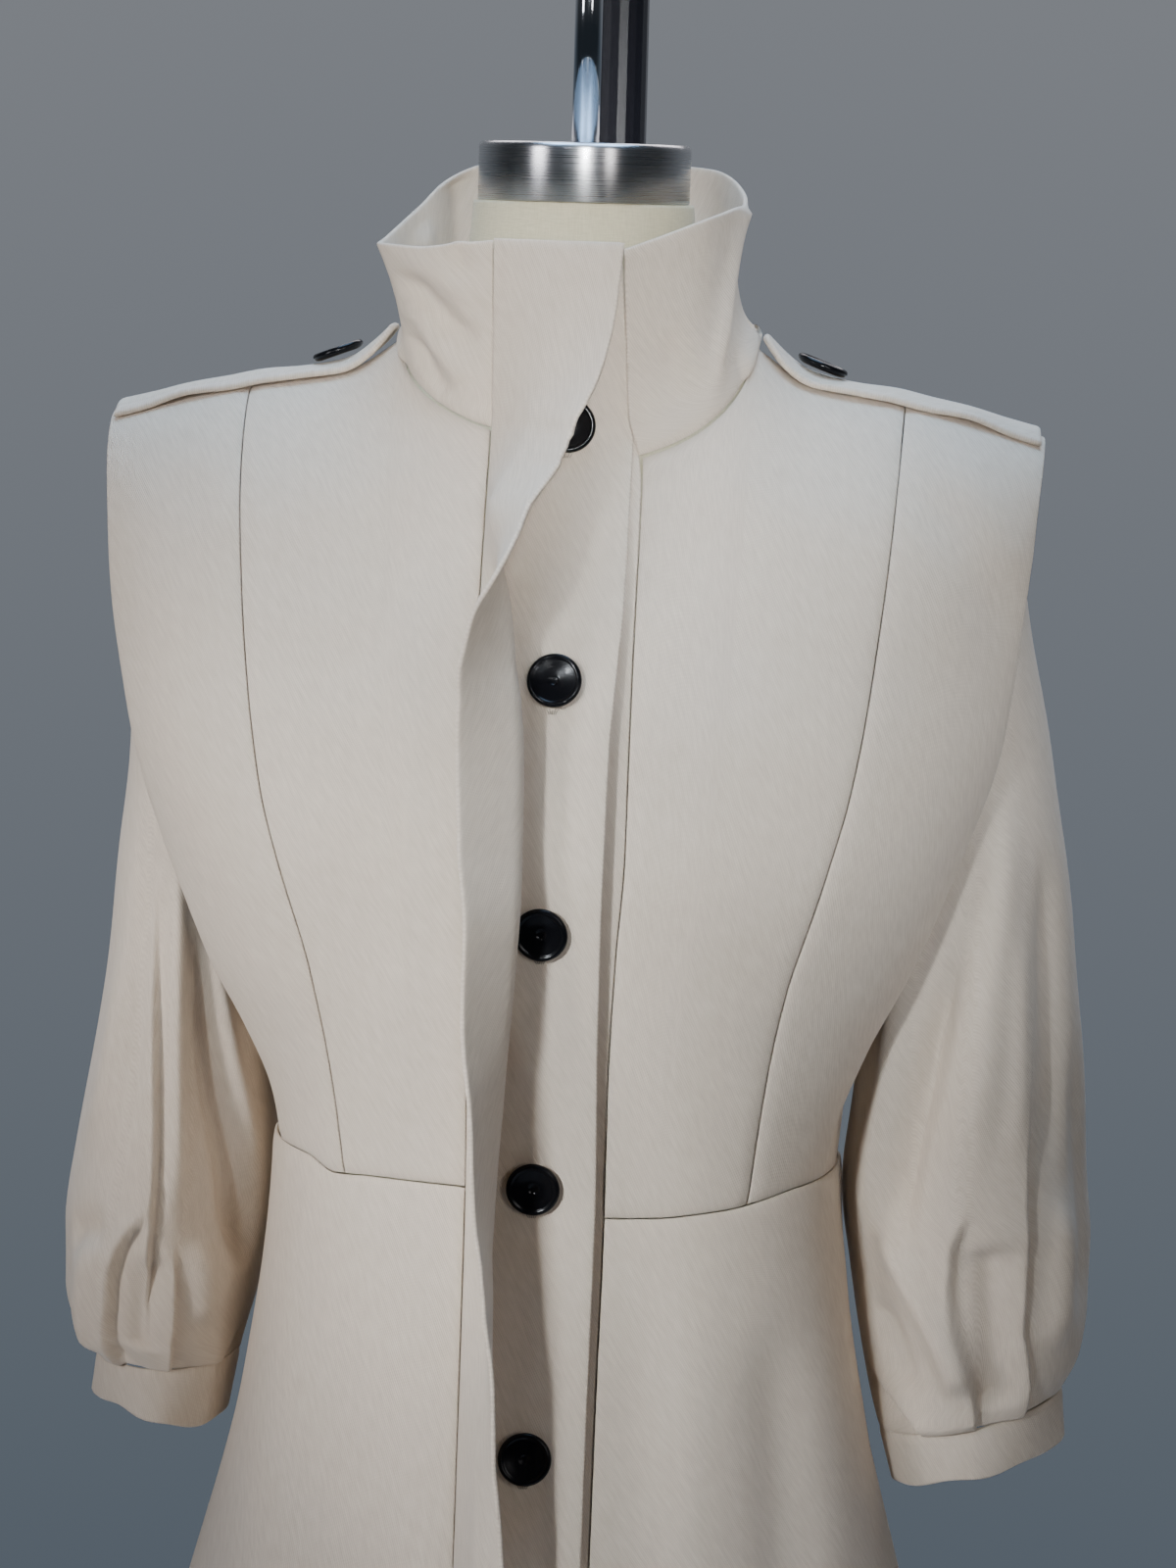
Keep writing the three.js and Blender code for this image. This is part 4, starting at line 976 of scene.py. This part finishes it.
# Knife pleats: depth of the step, which side lies on top, how far the step is felt, from
# where along its path it fades, and the path (degrees round the sleeve, height over the cuff).
RIGHT_PLEATS = [
    (9.45, 1, 15, 0.8, [(-62, -4), (-66, 10), (-70.5, 29), (-71.5, 48), (-75, 61), (-80, 70),
     (-86, 78), (-92, 79)]),
    (8.1, 1, 16, 0.45, [(-92, 54), (-90.5, 80), (-88.5, 104), (-84.5, 151), (-79, 207),
     (-73, 270)]),
    (7.43, 1, 12, 0.6, [(-103, -4), (-108.5, 9), (-110, 20), (-110, 31), (-108.5, 48), (-105, 68)]),
    (6.75, 1, 12, 0.45, [(-145, -4), (-163, 12), (-179, 20)]),
    (8.1, -1, 15, 0.45, [(52, -4), (60, 30), (66, 76), (67, 150)]),
    (6.75, -1, 12, 0.45, [(88, -4), (96, 24), (101, 64)]),
    (7.43, 1, 14, 0.45, [(128, -4), (132, 30), (128, 92)]),
]
LEFT_PLEATS = [
    (7.43, 1, 13, 0.45, [(-118, -4), (-139, 17), (-160, 29), (-174, 34)]),
    (9.45, -1, 15, 0.75, [(-87, -4), (-89, 8), (-94, 34), (-98.5, 53), (-100, 73), (-97, 95),
     (-90, 107), (-80, 110)]),
    (8.1, -1, 16, 0.45, [(-56, -4), (-58.5, 15), (-64.5, 45), (-63.5, 71), (-60.5, 125),
     (-56.5, 188), (-47, 232)]),
    (8.1, -1, 15, 0.45, [(50, -4), (58, 24), (64, 70), (63, 150)]),
    (6.75, 1, 12, 0.45, [(92, -4), (98, 30), (100, 70)]),
    (6.75, 1, 14, 0.45, [(130, -4), (134, 30), (130, 90)]),
]
# Softer folds of the sleeve, on the same map.
RIGHT_SLEEVE_FOLDS = folds(
    (-130, 40, -112, 260, -7, 20, 0, 0.2, 0.4), (-101, 60, -94, 300, 6.75, 7, 0, 0.3, 0.5),
    (-155, 44, -114, 235, -16.5, 8, -6, 0.15, 0.45), (-157, 96, -122, 240, 6, 7, -4, 0.3, 0.4),
    (-49, 6, -58, 76, 6.3, 12, 0, 0.1), (-36, 60, -68, 72, -5.1, 9), (-40, 100, -52, 220, 3, 12),
    (-70, 110, -66, 280, -3.3, 9), (-88, 10, -92, 60, -6.3, 10, 0, 0.1, 0.2),
    (-120, 70, -130, 16, 4.5, 9), (30, 40, 36, 220, -5.7, 14), (58, 60, 56, 260, 4.5, 12),
    (84, 60, 92, 300, -5.1, 11), (116, 70, 112, 280, 2.4, 12), (136, 60, 128, 280, -7.5, 10))
LEFT_SLEEVE_FOLDS = folds(
    (-90, 112, -68, 330, 6.75, 14, 3), (-126, 92, -98, 250, -11.2, 9, 3, 0.2),
    (-150, 70, -124, 300, 5.4, 10), (-134, 108, -95, 18, 7.8, 8, 2, 0.25, 0.15),
    (-126, 18, -140, 70, -6.9, 8), (-78, 6, -80, 96, -9, 12, 0, 0.1, 0.12),
    (-46, 110, -40, 290, -6.9, 11), (-42, 24, -42, 120, 6, 10), (-20, 24, -22, 200, -3.6, 9),
    (-68, 120, -62, 260, 3, 7), (30, 40, 36, 240, -5.4, 14), (58, 60, 56, 280, 4.8, 12),
    (82, 60, 88, 300, -5.1, 12), (114, 70, 110, 280, 6.3, 12), (136, 60, 128, 280, -7.5, 10))
PLEAT_EDGE = 1.3         # mm each side of a pleat's path over which its edge drops
PLEAT_UPPER = 0.45       # share of a pleat's depth that the cloth on top rises
PLEAT_LOWER = 0.55       # and that the cloth underneath sinks


def sleeve_rings(rows, count, around):
    """Points, degrees round the sleeve and place along the table for each ring."""
    keys = np.arange(len(rows["y"]), dtype=float)
    s = np.linspace(keys[-1], keys[0], count)
    ring = {name: through(keys, rows[name], s)[:, None] for name in SLEEVE_COLUMNS.split()}
    degrees = (np.arange(around) * 360 / around - 180)[None, :]
    angle = np.radians(degrees)
    middle = points((ring["out_x"] + ring["in_x"]) / 2, ring["y"], (ring["out_z"] + ring["in_z"]) / 2)
    half = points((ring["out_x"] - ring["in_x"]) / 2, 0, (ring["out_z"] - ring["in_z"]) / 2)
    full = smooth(s, 5.6, 7.5) * (1 - smooth(s, 9.4, 11))
    skew = SLEEVE_SKEW * full[:, None] * np.clip(-np.cos(angle), 0, 1) ** 1.5
    grid = middle + half * np.cos(angle)[..., None]
    grid[..., 1] += ring["deep"] * np.sin(angle) + skew
    return grid, degrees, s


def knife_pleat(degrees, height, per_degree, deep, over, reach, fade_from, path):
    """A folded edge along a path: the cloth on one side lies over the other."""
    place = points(degrees * per_degree, height)
    best = np.full(place.shape[:2], 1e9)
    signed = np.zeros(place.shape[:2])
    travelled = np.zeros(place.shape[:2])
    total = 0.0
    for start, end in zip(path[:-1], path[1:]):
        a = points(start[0] * per_degree, start[1])
        b = points(end[0] * per_degree, end[1])
        run = b - a
        length = np.linalg.norm(run, axis=-1)
        t = np.clip(((place - a) * run).sum(axis=-1) / length ** 2, 0, 1)
        gap = place - a - t[..., None] * run
        away = np.linalg.norm(gap, axis=-1)
        side = np.sign(run[..., 1] * gap[..., 0] - run[..., 0] * gap[..., 1])
        nearer = away < best
        best = np.where(nearer, away, best)
        signed = np.where(nearer, away * side, signed)
        travelled = np.where(nearer, total + t * length, travelled)
        total = total + length
    signed = signed * over
    fade = 1 - smooth(travelled / total, fade_from, 1.0)
    upper = PLEAT_UPPER * np.exp(-np.maximum(signed, 0) / reach)
    lower = -PLEAT_LOWER * np.exp(-np.maximum(-signed, 0) / reach)
    step = smooth(signed, -PLEAT_EDGE, PLEAT_EDGE)
    return deep * fade * mix(lower, upper, step)


def make_sleeve(name, sign, rows, pleats, folds, cuff):
    grid, degrees, s = sleeve_rings(rows, 132, 228)
    height = (grid[:, :, 2].mean(axis=1) - (rows["out_z"][-1] + rows["in_z"][-1]) / 2)[:, None]
    girth = np.linalg.norm(grid - np.roll(grid, 1, axis=1), axis=-1).sum(axis=1)[:, None]
    per_degree = girth / 360
    lift = sum(knife_pleat(degrees, height, per_degree, *pleat) for pleat in pleats)
    where = points(degrees, height)
    lift += crease(where, folds)
    lift += unevenness(grid, 3.1 * sign, 1.3) * smooth(height, 10, 60)
    lift *= 1 - 0.8 * smooth(s, 3.2, 1.2)[:, None]
    inner_side = smooth(np.cos(np.radians(degrees)), -0.72, -0.97)
    lift = np.where(lift > 0, lift * (1 - inner_side), lift)
    # No fold goes deeper or higher than this, and beside the cuff seam folds are shallow.
    lift = np.maximum(lift, mix(-17, -1.6, smooth(height, 18, 0)))
    lift = np.minimum(lift, mix(14, 1.8, smooth(height, 12, 0)))
    normals = surface_normals(grid, loop=True)
    grid = grid + normals * lift[..., None]
    cloth(f"sleeve_{name}", grid if sign > 0 else mirrored(grid), (385, 500), "gathered",
          f"side_panel_{name}", 0.80, seams=("bottom", "top"), loop=True)
    make_cuff(name, sign, rows, cuff)


def make_cuff(name, sign, rows, cuff):
    seam = {key: rows[key][-1] for key in SLEEVE_COLUMNS.split()}
    share = down_rows(0, 1, 26)
    degrees = (np.arange(192) * 360 / 192 - 180)[None, :]
    angle = np.radians(degrees)
    out_x, in_x = (mix(cuff[key], seam[key], share) for key in ("out_x", "in_x"))
    out_z, in_z = (mix(cuff[key], seam[key] - 1.0, share) for key in ("out_z", "in_z"))
    low = 1 - share
    x = (out_x + in_x) / 2 + (out_x - in_x) / 2 * np.cos(angle)
    y = seam["y"] + (seam["deep"] - 1) * np.sin(angle)
    z = (out_z + in_z) / 2 + (out_z - in_z) / 2 * np.cos(angle)
    wave = 1.4 * np.sin(3 * angle + 1.1 * sign) + 0.8 * np.sin(7 * angle + 2.0)
    grid = points(x, y, z + wave * low)
    normals = surface_normals(grid, loop=True)
    corner = 3.6 * np.exp(-((degrees + 14) / 13) ** 2) + 1.6 * np.exp(-((degrees + 96) / 16) ** 2)
    dents = -1.5 * np.exp(-((degrees + 62) / 18) ** 2) - 1.3 * np.exp(-((degrees + 126) / 14) ** 2)
    back = 1.2 * np.sin(4 * angle + 0.7 * sign) * (degrees > 0)
    tucked = -0.9 * np.exp(-((1 - share) * 12) ** 2)
    guard = smooth(np.cos(angle), -0.97, -0.6)
    grid = grid + normals * ((corner + dents + back) * low * guard + tucked)[..., None]
    cloth(f"cuff_{name}", grid if sign > 0 else mirrored(grid), (cuff["round"], 30), "gathered",
          f"sleeve_{name}", thick=FOLDED, seams=("top",), loop=True)


# ---- shoulder straps


def strap_height(x, y, out):
    side_low, side_high = ridge(x, -1), ridge(x, 1)
    crest = np.where(y < 0, side_low, side_high)
    reach = np.where(y < 0, depth(x, side_low, -1), depth(x, side_high, 1))
    share = np.minimum(1, np.abs(y) / reach)
    drop = ROUND * (1 - (1 - share ** ROUND_CURVE) ** (1 / ROUND_CURVE))
    return crest - drop + out


def make_straps():
    x = down_rows(STRAP["x"][0], STRAP["x"][-1], 110)
    share = across_columns(-1, 1, 36)
    half = along(STRAP, "x", "half", x)
    lift = along(STRAP, "x", "lift", x)
    y = half * share
    wavy = 0.8 * np.abs(share) ** 3 * (1 + np.sin(x / 9.0 + 0.8 * np.sign(share)))
    for name, sign in (("left", 1), ("right", -1)):
        z = strap_height(x, y, lift + STRAP_THICK + wavy)
        stitched = 0.45 * np.exp(-((half - np.abs(y) - 5) / 0.8) ** 2)
        z = z - stitched
        grid = points(x * sign, y, z)
        if sign > 0:
            grid = grid[:, ::-1]
        cloth(f"epaulette_{name}", grid, (46, 142), "laid", f"front_side_{name}", 0.93,
              thick=STRAP_THICK - 0.4, turn_uv=True)


# ---- buttons

BUTTON_PROFILE = [      # radius and height of the turned face, from the back to the middle
    (0, 0), (10.3, 0), (11.9, 0.5), (12.8, 1.4), (13.0, 2.3), (12.8, 3.2), (12.2, 3.85),
    (11.5, 4.1), (10.9, 4.0), (10.5, 3.7), (10.1, 3.45), (9.6, 3.4), (9.0, 3.3), (7.4, 2.95),
    (5.4, 2.6), (3.6, 2.42), (2.6, 2.4), (2.1, 2.2), (1.7, 1.9), (1.2, 1.8), (0, 1.8)]


def facing_matrix(direction):
    return Vector(direction).to_track_quat("Z", "Y").to_matrix()


THREADS = 5              # thread ends in a tuft, and sides of each
THREAD_RINGS = ((0, 0.2), (0.5, 0.2), (1, 0.1))    # place along a thread and its radius there


def thread_tuft(name, place, facing):
    """Short thread ends at the lower end of a buttonhole."""
    verts, faces = [], []
    turn = facing_matrix(facing)
    for k in range(THREADS):
        off = k - (THREADS - 1) / 2
        lean = off * 0.34
        root = Vector((off * 0.75, 0, 0.25))
        tip = root + Vector((math.sin(lean) * 2.1, 2.4 + 0.5 * math.sin(k * 2.3), 0.15))
        start = len(verts)
        for share, radius in THREAD_RINGS:
            spot = root.lerp(tip, share)
            if share == 0.5:
                spot.z += 0.55
            for corner in range(THREADS):
                angle = 2 * math.pi * corner / THREADS
                offset = Vector((math.cos(angle) * radius, 0, math.sin(angle) * radius))
                verts.append(turn @ (spot + offset) + Vector(place))
        for ring in (start, start + THREADS):
            for corner in range(THREADS):
                a, b = ring + corner, ring + (corner + 1) % THREADS
                faces.append((a, b, b + THREADS, a + THREADS))
        faces.append(tuple(start + THREADS - 1 - c for c in range(THREADS)))
        faces.append(tuple(start + 2 * THREADS + c for c in range(THREADS)))
    stand_for(plain_mesh(name, verts, faces, THREAD, smooth_shade=False), "twill")


def make_button(name, low, middle, high, across, tilt=(0.0, 0.0)):
    """Seats a button on the two ends of its width, or on its middle if that is proud."""
    chord = (low + high) / 2
    facing = unit(np.cross(across, high - low))
    proud = max(0.0, float(np.dot(chord - middle, facing)))
    place = middle + facing * (proud + 0.35)
    turn = facing_matrix(facing) @ Matrix.Rotation(tilt[0], 3, "X") @ Matrix.Rotation(tilt[1], 3, "Y")
    stand_for(lathe(name + "_turned", BUTTON_PROFILE, BLACK, 72, turn, place), "button", name)
    return facing


def make_buttons():
    for i in range(1, 8):
        low_corner, high_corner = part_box(f"button_{i}")
        x, height = ((low_corner[k] + high_corner[k]) / 2 / MM for k in (0, 2))
        spots = [closure_point(x, height + step, 0.0) for step in (-BUTTON_RADIUS, 0, BUTTON_RADIUS)]
        for spot in spots:
            share = np.array((x - STRIP_START) / (float(strip_edge(spot[2])) - STRIP_START))
            spot[1] -= float(raised_strip(share, np.array(spot[2]))) + 0.7
        tilt = (0.04 * math.sin(i * 2.1), 0.07 * math.sin(i * 1.3 + 1))
        facing = make_button(f"button_{i}", *spots, np.array([1.0, 0, 0]), tilt)
        root = closure_point(x - 0.5, height - BUTTON_RADIUS - 2.2, 0.0)
        thread_tuft(f"buttonhole_thread_{i}", Vector(root), facing)
    for name, sign in (("left", 1), ("right", -1)):
        spots = []
        for step in (-BUTTON_RADIUS, 0, BUTTON_RADIUS):
            x = STRAP_BUTTON_X + step
            lift = along(STRAP, "x", "lift", x)
            spots.append(np.array([x * sign, 0, float(strap_height(x, 0.0, lift + STRAP_THICK))]))
        make_button(f"epaulette_button_{name}", *spots, np.array([0, -float(sign), 0]))


# ---- dress form and stand


def make_form():
    z = np.concatenate([np.linspace(790, 1400, 110), np.linspace(1402, 1526.7, 70)])[:, None]
    row = {name: along(FORM, "z", name, z) for name in ("wide", "front", "back", "curve")}
    around = 144
    angle = (2 * np.pi * np.arange(around) / around)[None, :]
    sine, cosine = np.sin(angle), np.cos(angle)
    power = 2 / row["curve"]
    x = row["wide"] * np.sign(cosine) * np.abs(cosine) ** power
    side = np.where(sine < 0, -1, 1)
    own = np.where(sine < 0, row["front"], row["back"]) * np.abs(sine) ** power
    under_front = depth_at(x, z + FORM_CLEAR, -1) - FORM_CLEAR
    under_back = depth_at(x, z + FORM_CLEAR, 1) - FORM_CLEAR
    under = np.maximum(0, np.where(sine < 0, under_front, under_back))
    covered = (z > 1300) & (z < NECK_SIDE)
    y = side * np.where(covered, np.minimum(own, under), own)
    grid = points(x, y, z)
    verts = [grid.reshape(-1, 3), grid[0].mean(axis=0)[None], grid[-1].mean(axis=0)[None]]
    index = np.arange(grid.shape[0] * around).reshape(-1, around)
    here, there = index.T, np.roll(index, -1, axis=1).T
    walls = np.stack([here[:, :-1], there[:, :-1], there[:, 1:], here[:, 1:]], axis=-1)
    faces = walls.reshape(-1, 4).tolist()
    bottom, top = index.size, index.size + 1
    for now, after in zip(here.tolist(), there.tolist()):
        faces.append((bottom, after[0], now[0]))
        faces.append((top, now[-1], after[-1]))
    piece = plain_mesh("form_linen_cover", np.concatenate(verts), faces, LINEN)
    stand_for(piece, "linen", "form_torso")


def round_node(node):
    """Radius, lower end and upper end of a round CAD node, and the middle of its depth."""
    low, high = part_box(node)
    return (high[0] - low[0]) / 2 / MM, low[2] / MM, high[2] / MM, (low[1] + high[1]) / 2 / MM


def make_stand():
    radius, base, top, middle = round_node("neck_cap")
    rounding = 3
    cap = [(0, base), (radius - 0.6, base), (radius, base + 0.6), (radius, top - rounding - 0.2)]
    cap += [(radius - rounding + rounding * math.cos(a), top - rounding + rounding * math.sin(a))
            for a in np.linspace(0.1, math.pi / 2, 6)]
    cap += [(radius - 8, top), (9.5, top), (0, top)]
    place = (0, middle, 0)
    stand_for(lathe("neck_cap_turned", cap, STEEL, 160, None, place), "cap_steel", "neck_cap")

    radius, base, top, _ = round_node("hanging_rod")
    rod = [(0, base), (radius, base), (radius, top), (0, top)]
    stand_for(lathe("hanging_rod_tube", rod, CHROME, 64, None, place), "rod_chrome", "hanging_rod")

    for node in ("stand_arm", "stand_post", "stand_base"):
        piece = bpy.data.objects[node]
        piece.data.materials.clear()
        piece.data.materials.append(ENAMEL)


# ---- camera, lights, floor

# Millimetres and degrees; the camera looks down by pitch from the front, a little to one side.
CAMERA = dict(distance=2180, azimuth=3.5, height=1542, pitch=7.91, roll=1.61, shift=10,
              lens=101.25, sensor=36)
# Soft lights: place and target in metres, then width and height, watts and colour.
WINDOWS = [
    ("ceiling", (0.0, 0.1, 3.2), (0, 0, 1.3), (1.4, 1.2), 50, (0.42, 0.66, 1.0)),
    ("behind", (0.0, 1.4, 2.6), (0, 0, 1.2), (1.6, 0.8), 16, (1.0, 0.96, 1.0)),
    ("left_window", (-2.1, -2.0, 1.75), (0, 0, 1.5), (0.6, 1.4), 30, (0.94, 0.94, 1.0)),
    ("right_window", (1.6, -2.7, 1.7), (0, 0, 1.5), (0.4, 1.3), 14, (1.0, 0.96, 0.95)),
]
# Narrow lamps, each for one part of the coat, with half the angle of the beam in degrees.
LAMPS = [
    ("left_lamp", (-2.1, -2.0, 1.75), (-0.17, 0, 1.15), 5.2, 140, (1.0, 0.96, 0.96)),
    ("upper_lamp", (-0.8, -2.5, 2.3), (-0.12, 0, 1.32), 3.4, 170, (0.90, 0.94, 1.0)),
    ("chest_lamp", (-1.2, -2.35, 1.9), (0.04, 0, 1.16), 4.6, 350, (0.88, 0.94, 1.0)),
    ("right_lamp", (0.9, -2.5, 1.9), (0.13, 0, 1.27), 2.7, 480, (0.85, 0.91, 1.0)),
    ("collar_lamp", (0.2, -2.6, 1.7), (0.01, 0, 1.49), 2.6, 800, (0.95, 0.97, 1.0)),
    ("low_lamp", (-1.0, -2.4, 1.8), (0.07, 0, 0.92), 2.3, 680, (0.88, 0.93, 1.0)),
    ("low_left_lamp", (-1.0, -2.4, 1.9), (-0.06, 0, 1.02), 3.0, 40, (1.0, 0.80, 0.6)),
]
LAMP_RADIUS = 0.15       # metres, and how soft a lamp's shadows are
FLOOR_RADIUS = 1.5
FLOOR_DROP = 0.0005
FLOOR_SIDES = 96


def make_camera():
    data = bpy.data.cameras.new("photo_view")
    data.lens = CAMERA["lens"]
    data.sensor_width = CAMERA["sensor"]
    camera = link_object("photo_view", data)
    azimuth, pitch = math.radians(CAMERA["azimuth"]), math.radians(CAMERA["pitch"])
    right = Vector((math.cos(azimuth), math.sin(azimuth), 0))
    ahead = Vector((-math.sin(azimuth) * math.cos(pitch), math.cos(azimuth) * math.cos(pitch),
                    -math.sin(pitch)))
    place = Vector((math.sin(azimuth), -math.cos(azimuth), 0)) * CAMERA["distance"]
    place += right * CAMERA["shift"] + Vector((0, 0, CAMERA["height"]))
    camera.location = place * MM
    camera.rotation_mode = "QUATERNION"
    level = ahead.to_track_quat("-Z", "Y")
    roll = Matrix.Rotation(math.radians(CAMERA["roll"]), 3, "Z")
    camera.rotation_quaternion = (level.to_matrix() @ roll).to_quaternion()
    bpy.context.scene.camera = camera


def aimed_light(kind, name, place, target, power, colour):
    data = bpy.data.lights.new(name, kind)
    data.energy = power
    data.color = colour
    light = link_object(name, data)
    light.location = place
    light.rotation_mode = "QUATERNION"
    light.rotation_quaternion = (Vector(target) - Vector(place)).to_track_quat("-Z", "Y")
    return data


def grey_room():
    """Surroundings that are paler high up and behind the coat, and darker low and in front."""
    world = bpy.data.worlds.new("grey_room")
    world.use_nodes = True
    tree = world.node_tree
    background = tree.nodes["Background"]
    place = tree.nodes.new("ShaderNodeTexCoord")
    split = tree.nodes.new("ShaderNodeSeparateXYZ")
    shift = tree.nodes.new("ShaderNodeMath")
    shift.operation = "MULTIPLY_ADD"
    shift.inputs[1].default_value = 1.6
    shift.inputs[2].default_value = 0.6
    ramp = tree.nodes.new("ShaderNodeValToRGB")
    low, high = ramp.color_ramp.elements
    low.position, low.color = 0.05, (0.085, 0.108, 0.135, 1)
    high.position, high.color = 0.66, (0.202, 0.215, 0.238, 1)
    farther = tree.nodes.new("ShaderNodeMapRange")
    reach = {"From Min": 0.05, "From Max": 0.75, "To Min": 0.22, "To Max": 1.0}
    for key, value in reach.items():
        farther.inputs[key].default_value = value
    for output, target in (
            (place.outputs["Generated"], split.inputs[0]),
            (split.outputs["Z"], shift.inputs[0]),
            (shift.outputs[0], ramp.inputs[0]),
            (split.outputs["Y"], farther.inputs["Value"]),
            (ramp.outputs["Color"], background.inputs["Color"]),
            (farther.outputs["Result"], background.inputs["Strength"])):
        tree.links.new(output, target)
    bpy.context.scene.world = world


def make_studio():
    for name, place, target, size, power, colour in WINDOWS:
        data = aimed_light("AREA", name, place, target, power, colour)
        data.shape = "RECTANGLE"
        data.size, data.size_y = size
    for name, place, target, half_angle, power, colour in LAMPS:
        data = aimed_light("SPOT", name, place, target, power, colour)
        data.spot_size = 2 * math.radians(half_angle)
        data.spot_blend = 1.0
        data.shadow_soft_size = LAMP_RADIUS
    grey_room()
    turns = [2 * math.pi * k / FLOOR_SIDES for k in range(FLOOR_SIDES)]
    ring = [(FLOOR_RADIUS * math.cos(a), FLOOR_RADIUS * math.sin(a), -FLOOR_DROP) for a in turns]
    mesh = bpy.data.meshes.new("floor")
    mesh.from_pydata(ring, [], [tuple(range(FLOOR_SIDES))])
    finish_mesh(mesh, floor_material(), smooth_shade=False)


make_camera()
make_bodice()
make_side_panels()
make_skirt()
make_collar()
make_flap()
make_strips()
make_sleeve("right", -1, RIGHT_SLEEVE, RIGHT_PLEATS, RIGHT_SLEEVE_FOLDS, RIGHT_CUFF)
make_sleeve("left", 1, LEFT_SLEEVE, LEFT_PLEATS, LEFT_SLEEVE_FOLDS, LEFT_CUFF)
make_straps()
make_buttons()
make_form()
make_stand()
make_studio()
